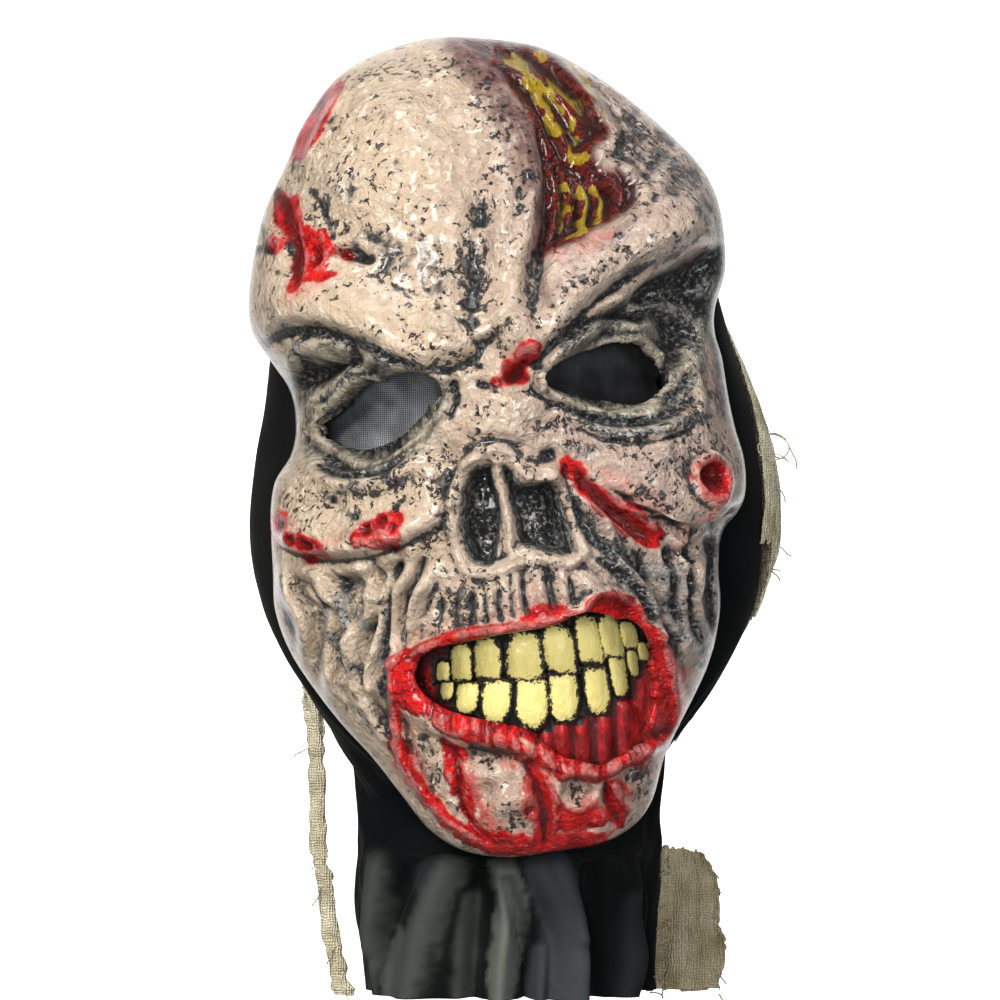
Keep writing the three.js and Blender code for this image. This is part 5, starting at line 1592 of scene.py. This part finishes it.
def between_rings(rings, share):
    """A point of each column, smoothly between the key rings."""
    keys = np.stack(rings)
    at = share * (len(rings) - 1)
    low = np.clip(np.floor(at).astype(int), 0, len(rings) - 2)
    t = (at - low)[:, None]
    column = np.arange(keys.shape[1])
    a, b, c, d = (keys[np.clip(low + i, 0, len(rings) - 1), column] for i in (-1, 0, 1, 2))
    return 0.5 * (
        2 * b + (c - a) * t + (2 * a - 5 * b + 4 * c - d) * t**2 + (3 * b - a - 3 * c + d) * t**3
    )


DRAPE_FOLDS = [
    ([(530, 850), (552, 895), (566, 930), (573, 960), (574, 1005)], 30, 10, "round", 0.9),
    ([(556, 850), (570, 890), (576, 935)], 12, 4, "round", 0.8),
    ([(516, 870), (530, 915), (541, 950), (537, 1005)], 11, 5, "round", 0.9),
    ([(506, 880), (518, 930), (524, 960), (526, 1005)], 11, -9, "sharp", 0.9),
    ([(592, 862), (594, 930), (592, 1005)], 15, -9, "round", 0.9),
    ([(500, 866), (508, 905), (503, 950), (499, 1005)], 15, 8, "round", 0.9),
    ([(478, 880), (474, 940), (470, 1005)], 14, -7, "round", 0.8),
    ([(455, 850), (432, 900), (418, 950), (408, 1005)], 24, 6, "round", 0.7),
    ([(425, 840), (396, 900), (380, 960)], 14, -5, "round", 0.7),
    ([(390, 800), (376, 880), (366, 950)], 14, 4, "round", 0.7),
    ([(620, 850), (630, 920), (628, 1005)], 20, 5, "round", 0.7),
    ([(650, 830), (648, 900), (642, 1005)], 12, -4, "round", 0.7),
]


def fold_drape(s):
    """The folds of the drape in front of the throat."""
    s.forms(DRAPE_FOLDS)


# Painted sheen along the drape's raised folds: olive on the left folds and grey on the pleat
OLIVE_STRIPS = [
    ([(502, 864), (512, 905), (506, 950), (500, 1005)], 17, 1),
    ([(455, 860), (432, 910), (416, 960), (408, 1005)], 22, 0.45),
    ([(385, 810), (372, 890), (366, 990)], 18, 0.4), ([(400, 940), (392, 1000)], 20, 0.55),
    ([(352, 740), (362, 800)], 14, 0.3), ([(470, 900), (460, 1000)], 14, 0.3),
]
GREY_PLEATS = [
    ([(540, 850), (556, 895), (566, 930), (570, 1005)], 34, 0.9),
    ([(540, 950), (536, 1005)], 14, 0.8), ([(630, 900), (628, 1000)], 20, 0.25),
    ([(440, 820), (420, 880)], 26, 0.35),
]


def paint_drape_sheen(s):
    """Painted sheen on the fold crests: olive strips on the left and a grey pleat."""
    for points, reach, strength in OLIVE_STRIPS:
        s.stroke("olive", points, reach * 1.15, strength, 0.25, 0.8, soft=1.05 - 0.55 * strength)
    for points, reach, strength in GREY_PLEATS:
        s.stroke("grey", points, reach * 0.9, strength, 0.1, 0.9, soft=1.05 - 0.6 * strength)


def make_hood():
    bpy.ops.mesh.primitive_grid_add(x_subdivisions=HOOD_TURNS, y_subdivisions=HOOD_CELLS, size=2)
    hood = bpy.context.object
    hood.name = "hood_cloth"
    cells = read_points(hood.data)
    turn = (cells[:, 0] + 1) / 2 % 1
    share = (cells[:, 1] + 1) / 2
    places = between_rings(hood_rings(turn), share)
    move_points(hood.data, places)
    normals = read_normals(hood.data)
    outward = places - HOOD_MIDDLE
    if (normals * outward).sum() < 0:
        hood.data.flip_normals()
        normals = -normals
    right, down = in_picture(*places.T)
    front = step_up(0.1, 0.5, -normals[:, 1]) * step_up(0.7, 0.8, share)
    surface = Surface(right, down, front)
    fold_drape(surface)
    paint_drape_sheen(surface)
    for name, layer in surface.paint.items():
        write_layer(hood.data, name, layer * front)
    loose = step_up(0.2, 0.45, share)
    around = turn * LATTICE
    for width, length, height in ((1.6, 0.5, 1.3), (0.8, 0.4, 0.6), (0.4, 0.25, 0.25)):
        crease = lumps(around / width * 0.5 % LATTICE, share / length * 8, 1)
        surface.relief += loose * height * MM * crease
    places += normals * surface.relief[:, None]
    move_points(hood.data, places)
    bpy.ops.object.mode_set(mode="EDIT")
    bpy.ops.mesh.select_all(action="SELECT")
    bpy.ops.mesh.remove_doubles(threshold=0.00005)
    bpy.ops.object.mode_set(mode="OBJECT")
    return hood


def make_jersey():
    """Black knit, with painted olive and grey sheen where the mesh says so."""
    recipe = Recipe("hood_jersey")
    cast = recipe.noise(18, 2, 0.5)
    cloth_and_sheen = recipe.ramp(cast, 0.35, (0.002, 0.0024, 0.0032), 0.7, (0.005, 0.0056, 0.0052))
    # Painted sheen: olive and grey over the black where the drape's folds rise
    for name, sheen_colour in (("olive", (0.1, 0.114, 0.1)), ("grey", (0.042, 0.046, 0.052))):
        cloth_and_sheen = recipe.blend(recipe.layer(name), cloth_and_sheen, sheen_colour)
    return recipe.finish({
        "Base Color": cloth_and_sheen, "Roughness": 0.85, "Specular IOR Level": 0.06,
        "Sheen Weight": 0.02, "Sheen Roughness": 0.5,
    }, recipe.noise(1800, 2, 0.5), 0.35, 0.0003)


hood = make_hood()
thicken_inwards(hood, CLOTH_WALL)
hood.data.materials.append(make_jersey())
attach(hood, "root")
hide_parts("hood")
bpy.ops.object.select_all(action="DESELECT")


# The gauze: tatters of tan cheesecloth tied to the hood, one rolled strand behind the left
# jaw, a scrap behind the right cheek and a torn panel at the neck. Their edges fray.
GAUZE_WALL = 0.7 * MM
THREAD_RADIUS = 0.28 * MM
STRAND_CLOTH = 22 * MM
PANEL_DEPTH = 31 * MM

# A thread's loop that stands out from the scrap: its place in the picture and its sizes
LOOP_AT = (769, 447)
LOOP_DEPTH = 45 * MM
LOOP_WIDTH = 6.2 * MM
LOOP_HEIGHT = 4.5 * MM
LOOP_DRIFT = 0.5 * MM

# The strand's middle in the picture and its width, from the knot down
STRAND = [
    (311, 684, 22), (311, 700, 24), (316, 740, 20), (318, 780, 19), (319, 850, 20),
    (326, 882, 19), (329, 922, 18), (337, 968, 21), (343, 995, 26),
]
# The panel's torn right side and its left side on the drape, from the top down
PANEL_RIGHT = [
    (703, 852), (711, 866), (717, 880), (719, 900), (719, 925), (725, 943), (723, 964),
    (719, 980), (720, 997),
]
PANEL_LEFT = [(662, 846), (660, 866), (657, 900), (654, 931), (650, 965), (646, 997)]


def grid_sheet(name, columns, rows):
    """A square grid and the place of each of its points in it, from 0 to 1."""
    bpy.ops.mesh.primitive_grid_add(x_subdivisions=columns, y_subdivisions=rows, size=2)
    sheet = bpy.context.object
    sheet.name = name
    cells = read_points(sheet.data)
    return sheet, (cells[:, 0] + 1) / 2, (cells[:, 1] + 1) / 2


def shape_sheet(sheet, places, wall):
    move_points(sheet.data, places)
    thicken_inwards(sheet, wall)


def along(line, share):
    """Points of a drawn line at shares of its way, by the number of its points."""
    drawn = smooth_line(line, pieces=8)
    at = np.linspace(0, 1, len(drawn))
    return np.stack([np.interp(share, at, column) for column in drawn.T], 1)


def add_threads(owner, paths):
    """Loose threads as thin closed tubes, joined to their cloth."""
    curve = bpy.data.curves.new("threads", "CURVE")
    curve.dimensions = "3D"
    curve.bevel_depth = THREAD_RADIUS
    curve.bevel_resolution = 1
    curve.use_fill_caps = True
    for path in paths:
        spline = curve.splines.new("POLY")
        spline.points.add(len(path) - 1)
        for point, place in zip(spline.points, path):
            point.co = (*place, 1)
    threads = bpy.data.objects.new("threads", curve)
    bpy.context.collection.objects.link(threads)
    bpy.ops.object.select_all(action="DESELECT")
    threads.select_set(True)
    bpy.context.view_layer.objects.active = threads
    bpy.ops.object.convert(target="MESH")
    owner.select_set(True)
    bpy.context.view_layer.objects.active = owner
    bpy.ops.object.join()


def fray(start, way, length, seed, points=7):
    """A loose thread that leaves a place and wanders."""
    chance = np.random.default_rng(seed)
    path = [np.array(start)]
    heading = np.array(way, dtype=float)
    for _ in range(points):
        heading = heading + chance.normal(0, 0.35, 3)
        heading[2] -= 0.12
        path.append(path[-1] + heading / np.linalg.norm(heading) * length / points)
    return path


def make_gauze_cloth():
    """Tan cheesecloth in an open, uneven weave, darker where the mesh says so, partly soil and
    partly painted shade.
    """
    recipe = Recipe("gauze")
    weave = recipe.weave("ADD", 330, 7, 3)
    tint = recipe.plus(recipe.noise(90, 6, 0.5), weave, 0.13)
    cloth = recipe.ramp(tint, 0.42, (0.36, 0.31, 0.19), 0.82, (0.8, 0.74, 0.55))
    cloth = recipe.blend(recipe.layer("soil_and_shade"), cloth, (0.16, 0.115, 0.045))
    return recipe.finish({"Base Color": cloth, "Roughness": 0.9}, weave, 0.8, 0.0005)


def make_strand():
    """A strip of gauze rolled up loosely along its length."""
    low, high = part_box("gauze_left")
    sheet, across, down = grid_sheet("gauze_left_cloth", 48, 220)
    down = 1 - down
    line = along(STRAND, down)
    bend = lumps(down * 9, down * 0, 1)
    angle = 2 * np.pi * 1.3 * across + 5 * down + 0.8 * bend
    pinch = 1 + 0.28 * lumps(down * 22, across * 2, 1) + 0.16 * lumps(down * 48, across * 7, 1)
    radius = line[:, 2] / 2 * (1 - 0.42 * across) * pinch * STEP
    depth = (low[1] + high[1]) / 2 + radius * np.sin(angle) * 0.7
    x, z = in_space(line[:, 0], line[:, 1], depth)
    shape_sheet(sheet, np.stack([x + radius * np.cos(angle), depth, z], 1), GAUZE_WALL)
    ends = []
    for i in range(7):
        chance = np.random.default_rng(i)
        level = chance.uniform(0, 1)
        at = along(STRAND, np.array([level]))[0]
        x, z = in_space(at[0] + chance.uniform(-0.5, 0.5) * at[2], at[1], low[1] + 4 * MM)
        way = (chance.choice([-1, 1]) * 0.4, -0.3, -0.6)
        ends.append(fray((x, low[1] + 3 * MM, z), way, 9 * MM, i))
    add_threads(sheet, ends)
    return sheet


def on_hood(turn, share, out):
    """Places at a distance out from the hood's plain form."""
    base = between_rings(hood_rings(turn), share)
    side = between_rings(hood_rings((turn + 0.002) % 1), share) - base
    on = between_rings(hood_rings(turn), share + 0.004) - base
    normal = np.cross(on, side)
    normal /= np.linalg.norm(normal, axis=1, keepdims=True)
    flip = np.sign((normal * (base - HOOD_MIDDLE)).sum(1))
    return base + normal * (flip * out)[:, None]


def make_scrap():
    """The scrap lies on the hood behind the right cheek and puffs out in two bulges."""
    sheet, across, down = grid_sheet("gauze_right_cloth", 60, 150)
    down = 1 - down
    ragged = 0.008 * lumps(down * 22, across * 0, 1) + 0.004 * lumps(down * 60, across * 0, 1)
    turn = 0.16 + 0.11 * across + np.where(across > 0.5, ragged, -ragged)
    share = 0.31 + 0.27 * down
    puff = np.sin(np.pi * down) ** 0.6 * (6.2 + 2.2 * np.sin(7.5 * down + 0.6))
    crease = lumps(down * 10 + across * 4, across * 12, 1) + 0.3 * lumps(down * 26, across * 16, 1)
    out = (1.4 + puff * np.sin(np.pi * (0.1 + 0.8 * across)) + 0.5 * crease) * MM
    places = on_hood(turn, share, out)
    shape_sheet(sheet, places, GAUZE_WALL)
    x, z = in_space(*LOOP_AT, LOOP_DEPTH)
    loop = [
        (x + LOOP_WIDTH * math.sin(a) + LOOP_DRIFT * a, LOOP_DEPTH, z + LOOP_HEIGHT * math.cos(a))
        for a in np.linspace(0, 5.5, 16)
    ]
    outer = places[places[:, 0] > places[:, 0].max() - 12 * MM]
    ends = [
        loop, fray(loop[0], (0.9, -0.2, 0.3), 8 * MM, 3), fray(loop[4], (0.7, 0, -0.8), 9 * MM, 5),
    ]
    for i in range(14):
        chance = np.random.default_rng(100 + i)
        start = outer[chance.integers(len(outer))]
        ends.append(fray(start, (0.8, -0.3, chance.uniform(-1, 0.4)), 7 * MM, 200 + i))
    add_threads(sheet, ends)
    return sheet


def make_panel():
    """The panel hangs on the back of the drape and shows past its right side."""
    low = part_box("gauze_neck")[0]
    sheet, across, down = grid_sheet("gauze_neck_cloth", 110, 150)
    down = 1 - down
    right, left = along(PANEL_RIGHT, down), along(PANEL_LEFT, down)
    torn = 2.2 * lumps(across * 24, across * 0, 1) * (1 - down) ** 8
    fringe = 1.6 * lumps(down * 40, across * 0, 1) * across**10
    px = left[:, 0] + (right[:, 0] - left[:, 0]) * across + fringe
    py = left[:, 1] + (right[:, 1] - left[:, 1]) * across + torn
    depth = PANEL_DEPTH + 4 * MM * across
    depth += 2.2 * MM * np.sin(across * 9 + 0.7 * np.sin(down * 3)) * (0.4 + 0.6 * down)
    depth += 0.7 * MM * lumps(across * 11, down * 2, 1)
    x, z = in_space(px, py, depth)
    z = np.maximum(z, low[2])
    shape_sheet(sheet, np.stack([x, depth, z], 1), GAUZE_WALL)
    ends = []
    for i in range(22):
        chance = np.random.default_rng(300 + i)
        level = chance.uniform(0.02, 0.95)
        at = along(PANEL_LEFT, np.array([level]))[0]
        right = at[0] + 6 + 12 * level + chance.uniform(-3, 3)
        x, z = in_space(right, at[1] + 4, PANEL_DEPTH - 1 * MM)
        start = (x, PANEL_DEPTH - 2.5 * MM, z)
        ends.append(fray(start, (-0.5, -0.25, chance.uniform(-1, 0.6)), 6 * MM, 400 + i))
    for i in range(8):
        chance = np.random.default_rng(500 + i)
        at = along(PANEL_RIGHT, np.array([chance.uniform(0, 0.97)]))[0]
        x, z = in_space(at[0] - 1, at[1], PANEL_DEPTH + 4 * MM)
        start = (x, PANEL_DEPTH + 3.5 * MM, z)
        ends.append(fray(start, (0.3, -0.2, -0.8), 5 * MM, 600 + i))
    add_threads(sheet, ends)
    return sheet


gauze = make_gauze_cloth()
# The panel is darker than the other pieces: partly soil, partly painted shade where it hangs behind
# the drape
for sheet, name, flat, soil_and_shade in (
    (make_strand(), "gauze_left", (STRAND_CLOTH, 0.112), 0.0),
    (make_scrap(), "gauze_right", (0.07, 0.13), 0.0),
    (make_panel(), "gauze_neck", (0.048, 0.058), 0.6),
):
    write_layer(sheet.data, "soil_and_shade", np.full(len(sheet.data.vertices), soil_and_shade))
    sheet.data.materials.clear()
    sheet.data.materials.append(gauze)
    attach(sheet, "root")
    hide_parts(name)
    bpy.ops.object.select_all(action="DESELECT")
